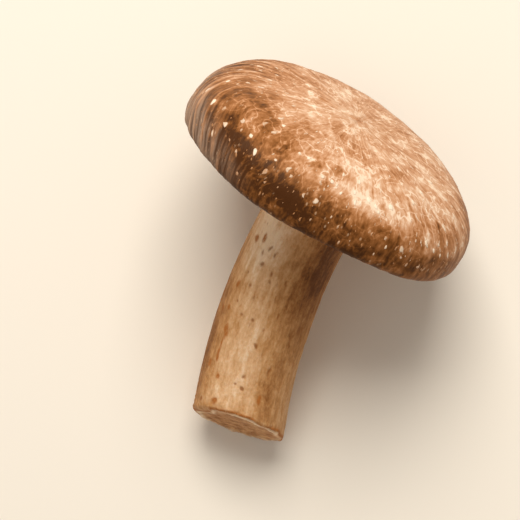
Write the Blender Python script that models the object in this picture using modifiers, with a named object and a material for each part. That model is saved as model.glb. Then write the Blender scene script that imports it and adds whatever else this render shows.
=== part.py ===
"""Shiitake mushroom, picked and trimmed, lying on its side on a flat surface.

The mushroom is modelled as it grew, with its cap's axis along +Z and the cap's widest circle
at z = 0, and an empty then lays it down. It rests on a small flat spot under the rim of the
cap and on another under the trimmed foot of the stem. Units are metres.

Three pieces, each of its own colour:
    cap    brown domed cap with its margin rolled in, and a recess below for the gills
    gills  pale disc of radial gills, long ones with a short one between each pair
    stem   pale curved stem, flared where it meets the gills, cut off at the foot
"""

import math

import bmesh
import bpy
import numpy as np
from mathutils import Matrix

# Cap, in its own frame
CAP_RADIUS = 0.03103
DOME_HEIGHT = 0.01245
DOME_POWER = 2.4  # 2 would be an ellipse; more gives a flatter top and fuller shoulders
LIP_DROP = 0.0034  # from the widest circle down to the rolled margin's lowest ring
LIP_POWER = 3.8
LIP_RADIUS = 0.0266  # of the margin's lowest ring
GILL_EDGE_RADIUS = 0.0238
GILL_EDGE_DROP = 0.0024
RECESS_DROP = 0.0002
GAP = 0.0003  # between touching pieces

# The cap isn't quite round: its radius follows two cosine waves round the axis
WAVE_THREE = 0.0295
WAVE_THREE_AT = math.radians(12.2)
WAVE_FOUR = 0.0121
WAVE_FOUR_AT = math.radians(51.4)
LIP_WAVE = 0.00035  # how far the margin rises and falls
LIP_WAVE_COUNT = 5
LIP_WAVE_AT = 1.0
SWELL = 0.00025  # height of the soft unevenness of the dome
SWELL_LENGTH_X = 0.027
SWELL_LENGTH_Y = 0.033
SWELL_AT_X = 0.7
SWELL_AT_Y = -0.4

# Gills
GILL_PAIRS = 48  # one long gill and one short gill each
COLUMNS_PER_GILL = 4  # two on the crest and two in the valley
GILL_HEIGHT = 0.0016
GILL_BED = 0.0013  # from the back of the disc to the bottom of the valleys
GILL_BULGE = 0.0009  # how much lower the disc hangs between its edge and its hub
BULGE_SKEW = 0.8  # under 1 moves the lowest ring outward
HUB_RADIUS = 0.0110
GILL_WANDER = 0.03  # how far the gills swing aside on their way in, in radians
GILL_WANDER_COUNT = 5

# Along a gill, as shares of the way from the disc's edge to its hub
EDGE_HEIGHT = 0.45  # of GILL_HEIGHT, at the very edge
EDGE_RISE = 0.15
HUB_FALL = 0.2
SHORT_GILL_END = 0.55
SHORT_GILL_FALL = 0.25
GILL_ROWS = (0.0, 0.08, 0.3, 0.52, 0.76, 0.94)

# Stem: its centre line moves aside with a power of the way down, so it bends more towards the foot
STEM_TOP_Y = -0.0018
FOOT_X = -0.0075
FOOT_Y = -0.0123
BEND_POWER = 2.3
FOOT_DROP = 0.0545  # from the cap's widest circle to the middle of the cut
STEM_RADIUS = 0.00936
FLARE = 0.0010
FLARE_LENGTH = 0.0045
FOOT_SWELL = 0.0003
FOOT_ROUNDING = 0.0009
CUT_SLANT = math.radians(20.8)
CUT_SLANT_AT = math.radians(151.2)  # the side on which the cut leaves the stem shortest
SLANT_REACH = 0.2  # of the stem's length, above the cut
STEM_OVAL = 0.012
STEM_OVAL_TWIST = 5.0
STEM_RIDGE = 0.008
STEM_RIDGE_COUNT = 5
STEM_STATIONS = (0.0, 0.0015, 0.0035, 0.006, 0.0105, 0.016, 0.022, 0.028, 0.034, 0.040)

# How it lies
ROLL = math.radians(4.0)  # about the cap's own axis
PRESS = 0.0005  # how deep the rim and the foot are pressed flat

# Mesh fineness
CAP_STEPS = 80
DOME_RINGS = 11
LIP_RINGS = 7
ROLL_RINGS = 4
STEM_STEPS = 40

SKIN_COLOUR = (0.38, 0.19, 0.085, 1.0)
GILL_COLOUR = (0.66, 0.44, 0.26, 1.0)
STEM_COLOUR = (0.60, 0.37, 0.19, 1.0)


def clear_scene():
    """Removes every object of the scene."""
    for found in list(bpy.data.objects):
        bpy.data.objects.remove(found)


def make_collection(name):
    """Makes a collection of that name in the scene."""
    made = bpy.data.collections.new(name)
    bpy.context.scene.collection.children.link(made)
    return made


def make_material(name, colour, roughness):
    """Makes a plain Principled BSDF material."""
    made = bpy.data.materials.new(name)
    made.use_nodes = True
    shader = made.node_tree.nodes["Principled BSDF"]
    shader.inputs["Base Color"].default_value = colour
    shader.inputs["Roughness"].default_value = roughness
    shader.inputs["Metallic"].default_value = 0.0
    return made


def turned(name, profile, steps, collection):
    """Turns a profile of (radius, height) points, from the top centre down its outer side, about Z."""
    mesh = bpy.data.meshes.new(name + "_profile")
    points = [(radius, 0.0, height) for radius, height in profile]
    edges = [(i, i + 1) for i in range(len(points) - 1)]
    mesh.from_pydata(points, edges, [])
    guide = bpy.data.objects.new(name + "_profile", mesh)
    bpy.context.scene.collection.objects.link(guide)
    screw = guide.modifiers.new("turn", "SCREW")
    screw.axis = "Z"
    screw.steps = steps
    screw.render_steps = steps
    screw.use_merge_vertices = True
    screw.merge_threshold = 0.00001
    screw.use_normal_calculate = True
    graph = bpy.context.evaluated_depsgraph_get()
    solid = bpy.data.meshes.new_from_object(guide.evaluated_get(graph))
    solid.name = name
    bpy.data.objects.remove(guide)
    piece = bpy.data.objects.new(name, solid)
    collection.objects.link(piece)
    return piece


def points_of(piece):
    """The piece's own points, as an array of rows."""
    flat = np.empty(len(piece.data.vertices) * 3)
    piece.data.vertices.foreach_get("co", flat)
    return flat.reshape(-1, 3)


def set_points(piece, points):
    """Moves the piece's points."""
    piece.data.vertices.foreach_set("co", points.ravel())
    piece.data.update()


def make_triangles(piece):
    """Splits every face into triangles, so that a bent face stays closed, and turns them all outward."""
    work = bmesh.new()
    work.from_mesh(piece.data)
    bmesh.ops.triangulate(work, faces=work.faces)
    bmesh.ops.recalc_face_normals(work, faces=work.faces)
    work.to_mesh(piece.data)
    work.free()


def finish_piece(piece, material, crease_degrees):
    """Triangulates, shades and colours a piece."""
    make_triangles(piece)
    piece.data.shade_smooth()
    piece.data.set_sharp_from_angle(angle=math.radians(crease_degrees))
    piece.data.materials.clear()
    piece.data.materials.append(material)


def arc_steps(count):
    """Angles of a quarter turn, evenly spaced, without the first."""
    return [math.pi / 2 * (i + 1) / count for i in range(count)]


def cap_profile():
    """The cap's section: dome, rolled margin, then the recess for the gills."""
    dome = [(0.0, DOME_HEIGHT)]
    for angle in arc_steps(DOME_RINGS):
        radius = CAP_RADIUS * math.sin(angle) ** (2 / DOME_POWER)
        height = DOME_HEIGHT * max(math.cos(angle), 0.0) ** (2 / DOME_POWER)
        dome.append((radius, height))
    lip = []
    for angle in arc_steps(LIP_RINGS):
        radius = LIP_RADIUS + (CAP_RADIUS - LIP_RADIUS) * max(math.cos(angle), 0.0) ** (2 / LIP_POWER)
        lip.append((radius, -LIP_DROP * math.sin(angle) ** (2 / LIP_POWER)))
    roll = []
    for angle in arc_steps(ROLL_RINGS):
        radius = LIP_RADIUS - (LIP_RADIUS - GILL_EDGE_RADIUS) * math.sin(angle)
        roll.append((radius, -LIP_DROP + (LIP_DROP - GILL_EDGE_DROP) * (1 - math.cos(angle))))
    recess = [(GILL_EDGE_RADIUS, -RECESS_DROP), (0.0, -RECESS_DROP)]
    return dome + lip + roll + recess


def rim_wave(angle):
    """The cap's radius at an angle about its axis, as a share of CAP_RADIUS."""
    three = WAVE_THREE * np.cos(3 * (angle - WAVE_THREE_AT))
    four = WAVE_FOUR * np.cos(4 * (angle - WAVE_FOUR_AT))
    return 1 + three + four


def shape_cap(points):
    """Waves the rim, lets the margin rise and fall, and makes the dome a little uneven."""
    x, y, z = points.T
    radius = np.hypot(x, y)
    angle = np.arctan2(y, x)
    wave = rim_wave(angle)
    on_lip = np.clip(-z / LIP_DROP, 0, 1) ** 2 * (radius > GILL_EDGE_RADIUS + GAP)
    lip_wave = LIP_WAVE * np.cos(LIP_WAVE_COUNT * angle + LIP_WAVE_AT) * on_lip
    on_dome = np.clip(z / DOME_HEIGHT, 0, 1)
    swell_x = np.cos(2 * math.pi * x / SWELL_LENGTH_X + SWELL_AT_X)
    swell_y = np.cos(2 * math.pi * y / SWELL_LENGTH_Y + SWELL_AT_Y)
    return np.column_stack([x * wave, y * wave, z + lip_wave + SWELL * swell_x * swell_y * on_dome])


def make_cap(collection, material):
    """The domed cap, one closed body."""
    cap = turned("cap", cap_profile(), CAP_STEPS, collection)
    set_points(cap, shape_cap(points_of(cap)))
    finish_piece(cap, material, 50)
    return cap


def gill_floor(inward):
    """Drop of the gills' valleys below the cap's widest circle. inward runs from 0, the edge, to 1, the hub."""
    bulge = np.sin(math.pi * np.clip(inward, 0, 1) ** BULGE_SKEW)
    return RECESS_DROP + GAP + GILL_BED + GILL_BULGE * bulge


def gill_profile():
    """The disc's section: its flat back, outer edge, valleys and hub."""
    edge = GILL_EDGE_RADIUS - GAP
    back = -(RECESS_DROP + GAP)
    under = [(edge + (HUB_RADIUS - edge) * row, -float(gill_floor(row))) for row in GILL_ROWS]
    hub = [(HUB_RADIUS, -float(gill_floor(1.0))), (0.0, -float(gill_floor(1.0)))]
    return [(0.0, back), (edge, back)] + under + hub


def shape_gills(points):
    """Raises the gills from the disc's lower face, and shifts its hub to the stem."""
    x, y, z = points.T
    edge = GILL_EDGE_RADIUS - GAP
    radius = np.hypot(x, y)
    angle = np.arctan2(y, x)
    inward = np.clip((edge - radius) / (edge - HUB_RADIUS), 0, 1)
    column = np.rint(angle / (2 * math.pi) * GILL_PAIRS * 2 * COLUMNS_PER_GILL).astype(int)
    on_crest = column % COLUMNS_PER_GILL < COLUMNS_PER_GILL // 2
    short = column // COLUMNS_PER_GILL % 2 == 1
    outer_slope = np.clip(EDGE_HEIGHT + inward / EDGE_RISE, 0, 1)
    inner_slope = np.clip((1 - inward) / HUB_FALL, 0, 1)
    reach = np.where(short, np.clip((SHORT_GILL_END - inward) / SHORT_GILL_FALL, 0, 1), 1.0)
    below = z < -(RECESS_DROP + GAP + GILL_BED / 2)
    height = GILL_HEIGHT * outer_slope * inner_slope * reach * on_crest * below
    wander = GILL_WANDER * np.sin(math.pi * inward) * np.sin(GILL_WANDER_COUNT * angle)
    angle = angle + wander * below
    radius = radius + (1 - inward) * (rim_wave(angle) - 1) * edge
    return np.column_stack([radius * np.cos(angle), radius * np.sin(angle) + inward * STEM_TOP_Y, z - height])


def make_gills(collection, material):
    """The disc of gills, one closed body set in the cap's recess."""
    steps = GILL_PAIRS * 2 * COLUMNS_PER_GILL
    gills = turned("gills", gill_profile(), steps, collection)
    set_points(gills, shape_gills(points_of(gills)))
    finish_piece(gills, material, 30)
    return gills


def stem_top_drop():
    """Drop of the stem's top below the cap's widest circle, just clear of the gills' hub."""
    return float(gill_floor(1.0)) + GAP


def stem_radius(down):
    """The stem's radius at a distance down from its top: flared above, a little thicker at the foot."""
    length = FOOT_DROP - stem_top_drop()
    flare = FLARE * np.exp(-down / FLARE_LENGTH)
    return STEM_RADIUS + flare + FOOT_SWELL * (down / length) ** 2


def stem_profile():
    """The straightened stem's section, from the top centre down its side to the middle of the cut."""
    length = FOOT_DROP - stem_top_drop()
    stations = STEM_STATIONS + (length - FOOT_ROUNDING,)
    side = [(float(stem_radius(down)), -down) for down in stations]
    foot_radius = float(stem_radius(length)) - FOOT_ROUNDING
    corner = FOOT_ROUNDING * math.sin(math.pi / 4)
    rounding = [(foot_radius + corner, -(length - FOOT_ROUNDING + corner)), (foot_radius, -length)]
    return [(0.0, 0.0)] + side + rounding + [(foot_radius / 2, -length), (0.0, -length)]


def bend_stem(points):
    """Bends the straight stem along its centre line, each ring square to the line, and slants the cut."""
    x, y, z = points.T
    length = FOOT_DROP - stem_top_drop()
    share = np.clip(-z / length, 0, 1)
    lateral = FOOT_Y - STEM_TOP_Y
    aside = share**BEND_POWER
    line = np.column_stack([FOOT_X * aside, STEM_TOP_Y + lateral * aside, -stem_top_drop() + z])
    slope_x = BEND_POWER * FOOT_X * share ** (BEND_POWER - 1) / length
    slope_y = BEND_POWER * lateral * share ** (BEND_POWER - 1) / length
    angle = np.arctan2(y, x)
    oval = STEM_OVAL * np.cos(2 * angle + STEM_OVAL_TWIST * share)
    uneven = 1 + oval + STEM_RIDGE * np.cos(STEM_RIDGE_COUNT * angle)
    x, y = x * uneven, y * uneven
    toward_short = x * math.cos(CUT_SLANT_AT) + y * math.sin(CUT_SLANT_AT)
    slant = -math.tan(CUT_SLANT) * toward_short * np.clip((share - 1 + SLANT_REACH) / SLANT_REACH, 0, 1)
    down = np.column_stack([slope_x, slope_y, -np.ones_like(x)])
    down /= np.linalg.norm(down, axis=1)[:, None]
    across_x = np.column_stack([np.ones_like(x), np.zeros_like(x), slope_x])
    across_x /= np.linalg.norm(across_x, axis=1)[:, None]
    across_y = np.cross(across_x, down)
    return line + x[:, None] * across_x + y[:, None] * across_y + slant[:, None] * down


def make_stem(collection, material):
    """The curved stem, one closed body."""
    stem = turned("stem", stem_profile(), STEM_STEPS, collection)
    set_points(stem, bend_stem(points_of(stem)))
    finish_piece(stem, material, 40)
    return stem


def laid(points, tilt):
    """The points with the mushroom rolled about its axis, and that axis then tilt above the horizontal."""
    turn = Matrix.Rotation(math.pi / 2 - tilt, 3, "Y") @ Matrix.Rotation(ROLL, 3, "Z")
    return points @ np.array(turn).T


def resting_tilt(cap_points, stem_points):
    """The tilt of the axis at which rim and foot touch the surface together, found by halving."""
    low, high = 0.0, math.radians(60)
    for _ in range(40):
        tilt = (low + high) / 2
        rim_height = laid(cap_points, tilt)[:, 2].min()
        foot_height = laid(stem_points, tilt)[:, 2].min()
        if foot_height > rim_height:
            low = tilt
        else:
            high = tilt
    return tilt


def lay_down(cap, gills, stem):
    """Lays the mushroom on the surface z = 0 under an empty, with the middle of its outline at the origin."""
    tilt = resting_tilt(points_of(cap), points_of(stem))
    lying = bpy.data.objects.new("lying", None)
    bpy.context.scene.collection.objects.link(lying)
    everything = laid(np.vstack([points_of(piece) for piece in (cap, gills, stem)]), tilt)
    low, high = everything.min(axis=0), everything.max(axis=0)
    turn = Matrix.Rotation(math.pi / 2 - tilt, 4, "Y") @ Matrix.Rotation(ROLL, 4, "Z")
    middle = (low + high) / 2
    lying.matrix_world = Matrix.Translation((-middle[0], -middle[1], -low[2] - PRESS)) @ turn
    for piece in (cap, gills, stem):
        piece.parent = lying
    bpy.context.view_layer.update()


def press_flat(piece):
    """Flattens what of the piece would reach below the surface it lies on."""
    world = np.array(piece.matrix_world)
    points = points_of(piece) @ world[:3, :3].T + world[:3, 3]
    points[:, 2] = np.maximum(points[:, 2], 0.0)
    set_points(piece, (points - world[:3, 3]) @ world[:3, :3])


def main():
    clear_scene()
    collection = make_collection("shiitake_mushroom")
    cap = make_cap(collection, make_material("cap_skin", SKIN_COLOUR, 0.55))
    gills = make_gills(collection, make_material("gill_flesh", GILL_COLOUR, 0.8))
    stem = make_stem(collection, make_material("stem_flesh", STEM_COLOUR, 0.75))
    lay_down(cap, gills, stem)
    press_flat(cap)
    press_flat(stem)


main()
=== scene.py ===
"""Dresses the shiitake mushroom: cap skin with its flecks, gills, and stem with its cut foot.

The mushroom lies on a pale floor under soft light, and the camera looks down on it. Every piece
is worked out in the mushroom's own upright frame, with the cap's axis along +Z and its widest
circle at z = 0, and then laid down as the frame's solids are. Lengths are in metres.
"""

from __future__ import annotations

import logging
import math
from dataclasses import dataclass, field
from enum import Enum
from functools import cached_property

import bpy
import numpy as np
from mathutils import Matrix, Vector
from numpy.typing import NDArray

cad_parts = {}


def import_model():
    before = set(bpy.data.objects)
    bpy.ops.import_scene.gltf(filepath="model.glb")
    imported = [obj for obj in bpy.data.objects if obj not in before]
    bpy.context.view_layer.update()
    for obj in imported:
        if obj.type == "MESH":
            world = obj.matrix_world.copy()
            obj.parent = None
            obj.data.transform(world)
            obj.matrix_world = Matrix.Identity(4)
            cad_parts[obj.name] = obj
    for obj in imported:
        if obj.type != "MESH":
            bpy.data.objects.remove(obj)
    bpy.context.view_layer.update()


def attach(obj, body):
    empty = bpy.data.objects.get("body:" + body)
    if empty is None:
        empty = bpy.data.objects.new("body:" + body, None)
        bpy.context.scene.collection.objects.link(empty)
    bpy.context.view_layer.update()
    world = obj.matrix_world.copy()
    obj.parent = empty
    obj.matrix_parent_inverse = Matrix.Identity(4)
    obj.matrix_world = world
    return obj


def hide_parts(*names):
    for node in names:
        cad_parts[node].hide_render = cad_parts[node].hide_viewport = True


log = logging.getLogger("shiitake")

Array = NDArray[np.float64]
Colour = tuple[float, float, float]
Socket = bpy.types.NodeSocket
Spots = tuple[tuple[float, float, float, float, float], ...]

ROOT = "root"
MM = 0.001
GAP = 0.3 * MM  # between the cap, the gills and the stem


class Slot(Enum):
    """The record's material slots."""

    SKIN = "cap_skin"
    GILL = "gill_flesh"
    STEM = "stem_flesh"


# Helpers for arrays


def smooth_step(value: Array, low: float, high: float) -> Array:
    """Rises from 0 at low to 1 at high along 3t^2 - 2t^3.

    Args:
        value: Numbers to map.
        low: Where the rise starts.
        high: Where it ends. It may be under low, and then the step falls.

    Returns:
        One number from 0 to 1 for each value.
    """
    share = np.clip((value - low) / (high - low), 0.0, 1.0)
    return share * share * (3.0 - 2.0 * share)


def scattered(corner: NDArray[np.int64], seed: int) -> Array:
    """A repeatable random number from 0 to 1 for each whole-numbered lattice corner.

    The three numbers are multiplied by large odd constants, joined by exclusive or, and mixed
    by shifts and products in 32 bits.

    Args:
        corner: Lattice corners, with their three numbers in the last axis.
        seed: Chooses one of many unlike fields.

    Returns:
        One number for each corner.
    """
    parts = corner.astype(np.uint32)
    mixed = parts[..., 0] * np.uint32(0x8DA6B343)
    mixed ^= parts[..., 1] * np.uint32(0xD8163841)
    mixed ^= parts[..., 2] * np.uint32(0xCB1AB31F)
    mixed ^= np.uint32((seed * 0x9E3779B1) & 0xFFFFFFFF)
    mixed ^= mixed >> np.uint32(15)
    mixed *= np.uint32(0x85EBCA6B)
    mixed ^= mixed >> np.uint32(13)
    mixed *= np.uint32(0xC2B2AE35)
    mixed ^= mixed >> np.uint32(16)
    return mixed.astype(np.float64) / 2.0**32


def soft_noise(points: Array, seed: int) -> Array:
    """Smooth noise from -1 to 1: random corner values of a unit lattice, blended by quintic weights.

    Args:
        points: Places in lattice units, with three numbers in the last axis.
        seed: Chooses the field.

    Returns:
        One number for each place.
    """
    cell = np.floor(points)
    share = points - cell
    weight = share**3 * (share * (share * 6.0 - 15.0) + 10.0)
    base = cell.astype(np.int64)
    total = np.zeros(points.shape[:-1])
    for step in np.ndindex(2, 2, 2):
        corner = np.array(step)
        amount = np.prod(np.where(corner == 1, weight, 1.0 - weight), axis=-1)
        total += amount * scattered(base + corner, seed)
    return total * 2.0 - 1.0


def layered_noise(points: Array, seed: int, layers: int = 3) -> Array:
    """Sum of noises, each at twice the frequency and half the height of the one before.

    Args:
        points: Places in lattice units of the first layer.
        seed: Chooses the fields.
        layers: How many noises are summed.

    Returns:
        One number for each place, from about -1 to 1.
    """
    total = np.zeros(points.shape[:-1])
    for layer in range(layers):
        total += soft_noise(points * 2.0**layer, seed + 17 * layer) * 0.5**layer
    return total / (2.0 - 0.5 ** (layers - 1))


def around(angle: Array, along: Array, turn_scale: float, along_scale: float) -> Array:
    """Places for noise that closes on itself round the axis: (k cos a, k sin a, m s).

    Args:
        angle: Angle a about the axis.
        along: Distance s along the surface.
        turn_scale: k, the lattice cells in one radian.
        along_scale: m, the lattice cells in one unit of s.

    Returns:
        Places with three numbers in the last axis.
    """
    parts = (np.cos(angle) * turn_scale, np.sin(angle) * turn_scale, np.asarray(along) * along_scale)
    return np.stack(np.broadcast_arrays(*parts), axis=-1)


@dataclass(frozen=True)
class Ripple:
    """A noise that closes on itself round the axis, by its cells in a radian and in a unit of length."""

    turn_scale: float
    along_scale: float
    seed: int
    layers: int = 1

    def at(self, angle: Array, along: Array) -> Array:
        """The noise at each place, from about -1 to 1."""
        return layered_noise(around(angle, along, self.turn_scale, self.along_scale), self.seed, self.layers)


def spots(angle: Array, along: Array, table: Spots) -> Array:
    """Sum of soft spots: strength times e^-(a^2 + b^2), with a and b the distances in spot sizes.

    Args:
        angle: Angle about the axis.
        along: Distance along the surface, in mm.
        table: For each spot its angle and half width in degrees, and its place, half length in mm
            and strength, in the order angle, place, half width, half length, strength.

    Returns:
        One number for each place.
    """
    total = np.zeros(np.broadcast_shapes(angle.shape, along.shape))
    for at_angle, at_along, wide, long, strength in table:
        aside = np.degrees(np.angle(np.exp(1j * (angle - math.radians(at_angle))))) / wide
        total += strength * np.exp(-(aside**2) - ((along - at_along) / long) ** 2)
    return total


def grid_normals(grid: Array) -> Array:
    """Unit normals of a grid that closes on itself along its second axis.

    Each is the cross product of the central differences along the two axes.

    Args:
        grid: Points in rows and columns.

    Returns:
        One unit vector for each point, pointing out of a form whose rows run down its outside.
    """
    down = np.gradient(grid, axis=0)
    round_it = np.roll(grid, -1, axis=1) - np.roll(grid, 1, axis=1)
    normal = np.cross(down, round_it)
    return normal / np.maximum(np.linalg.norm(normal, axis=-1, keepdims=True), 1e-12)


# Where the mushroom lies, and how meshes are made


@dataclass(frozen=True)
class Lying:
    """The upright mushroom's place in the frame once it is laid down."""

    tilt: float = math.radians(26.90827)
    roll: float = math.radians(4.0)
    origin: tuple[float, float, float] = (0.01754035, 0.00073932, 0.02819839)
    half_length: float = 0.036719  # half sizes and height of the box that it fills
    half_width: float = 0.030811
    height: float = 0.056322

    def matrix(self) -> Matrix:
        """Turn by the roll about the axis, lean to the tilt, then shift."""
        lean = Matrix.Rotation(math.pi / 2 - self.tilt, 4, "Y")
        return Matrix.Translation(self.origin) @ lean @ Matrix.Rotation(self.roll, 4, "Z")

    def place(self, points: Array) -> Array:
        """Lays points down, and flattens what would reach into the floor or past the box.

        Args:
            points: Points of the upright mushroom, with three numbers in the last axis.

        Returns:
            The points in the frame.
        """
        matrix = np.array(self.matrix())
        laid = points @ matrix[:3, :3].T + matrix[:3, 3]
        low = (-self.half_length, -self.half_width, 0.0)
        return np.clip(laid, low, (self.half_length, self.half_width, self.height))


@dataclass(frozen=True)
class View:
    """Where the photograph was taken from, and where a point falls in its picture."""

    lying: Lying
    view_angle: float = math.radians(70.0)  # between the cap's axis and the line of sight
    long_axis: float = math.radians(32.28)  # of the cap's outline, below the picture's horizontal
    distance: float = 0.45
    pixels_per_metre: float = 5080.0
    picture: float = 520.0
    cap_centre: tuple[float, float] = (328.47, 169.10)

    @property
    def focal(self) -> float:
        """The focal length in pixels."""
        return self.pixels_per_metre * self.distance

    @property
    def position(self) -> Array:
        """The camera's place."""
        return np.array(self.stand())[:3, 3]

    def axes(self) -> tuple[Vector, Vector, Vector]:
        """The picture's right and up, and the direction towards the camera, at the cap's centre."""
        turn = self.lying.matrix().to_3x3()
        toward = turn @ Vector((-math.sin(self.view_angle), 0.0, math.cos(self.view_angle)))
        flat = turn @ Vector((0.0, -1.0, 0.0))
        steep = toward.cross(flat)
        right = flat * math.cos(self.long_axis) + steep * math.sin(self.long_axis)
        return right, toward.cross(right), toward

    def stand(self) -> Matrix:
        """The camera's matrix, turned so that the cap's centre falls where it should in the picture."""
        right, up, toward = self.axes()
        middle = self.picture / 2
        across, down = self.cap_centre[0] - middle, self.cap_centre[1] - middle
        aim = Vector((across / self.focal, -down / self.focal, -1.0))
        turn = aim.normalized().rotation_difference(Vector((0.0, 0.0, -1.0))).to_matrix()
        basis = Matrix((right, up, toward)).transposed()
        stand = Matrix.Translation(Vector(self.lying.origin) + toward * self.distance)
        return stand @ (basis @ turn).to_4x4()

    def project(self, points: Array) -> Array:
        """Where points of the frame fall in the picture, in pixels across and down."""
        stand = np.array(self.stand())
        local = (points - stand[:3, 3]) @ stand[:3, :3]
        return self.picture / 2 + self.focal * local[..., :2] / -local[..., 2:] * [1.0, -1.0]


@dataclass
class Piece:
    """One visible piece: a mesh with its material, the node that it stands for, and its slot."""

    name: str
    points: Array
    faces: list[NDArray[np.int64]]
    slot: Slot
    replaces: str = ""
    marks: dict[str, Array] = field(default_factory=dict)

    def build(self, material: bpy.types.Material) -> bpy.types.Object:
        """Makes the object, with its marks as point attributes, and hands it to the frame.

        Args:
            material: What the piece is covered with.

        Returns:
            The new object.
        """
        mesh = bpy.data.meshes.new(self.name)
        sizes = np.concatenate([np.full(len(block), block.shape[1]) for block in self.faces])
        loops = np.concatenate([block.ravel() for block in self.faces])
        mesh.vertices.add(len(self.points))
        mesh.loops.add(len(loops))
        mesh.polygons.add(len(sizes))
        mesh.vertices.foreach_set("co", self.points.astype(np.float32).ravel())
        mesh.loops.foreach_set("vertex_index", loops.astype(np.int32))
        starts = np.concatenate([[0], np.cumsum(sizes)[:-1]])
        mesh.polygons.foreach_set("loop_start", starts.astype(np.int32))
        mesh.update(calc_edges=True)
        mesh.validate()
        mesh.shade_smooth()
        for mark, values in self.marks.items():
            kind, part = ("FLOAT_VECTOR", "vector") if values.ndim == 2 else ("FLOAT", "value")
            made_mark = mesh.attributes.new(mark, kind, "POINT")
            made_mark.data.foreach_set(part, values.astype(np.float32).ravel())
        mesh.materials.append(material)
        made = bpy.data.objects.new(self.name, mesh)
        bpy.context.scene.collection.objects.link(made)
        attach(made, ROOT)
        if self.replaces:
            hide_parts(self.replaces)
        log.info("%s: %d points, %d faces", self.name, len(self.points), len(sizes))
        return made


def closed_grid(rows: int, columns: int) -> list[NDArray[np.int64]]:
    """Faces of a grid that closes round its columns, with one point as a pole at each end.

    Point 0 is the first pole, then come the rows, and the last point is the other pole.

    Args:
        rows: Rings of points.
        columns: Points in a ring.

    Returns:
        The quads, then the two fans of triangles.
    """
    ring = np.arange(columns)
    after = (ring + 1) % columns
    first = 1 + np.arange(rows - 1)[:, None] * columns
    below = first + columns
    quads = np.stack([first + ring, below + ring, below + after, first + after], axis=-1).reshape(-1, 4)
    last = 1 + (rows - 1) * columns
    end = np.full(columns, last + columns)
    top = np.stack([np.zeros_like(ring), 1 + ring, 1 + after], axis=-1)
    bottom = np.stack([end, last + after, last + ring], axis=-1)
    return [quads, np.concatenate([top, bottom])]


def with_poles(grid: Array) -> Array:
    """Flattens a grid of values or points into rows, with the mean of the first and last rings as poles."""
    flat = grid.reshape(-1) if grid.ndim == 2 else grid.reshape(-1, grid.shape[-1])
    return np.concatenate([grid[:1].mean(axis=1), flat, grid[-1:].mean(axis=1)])


def poled(marks: dict[str, Array]) -> dict[str, Array]:
    """The same marks, each flattened with its poles."""
    return {name: with_poles(values) for name, values in marks.items()}


# Materials


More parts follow.
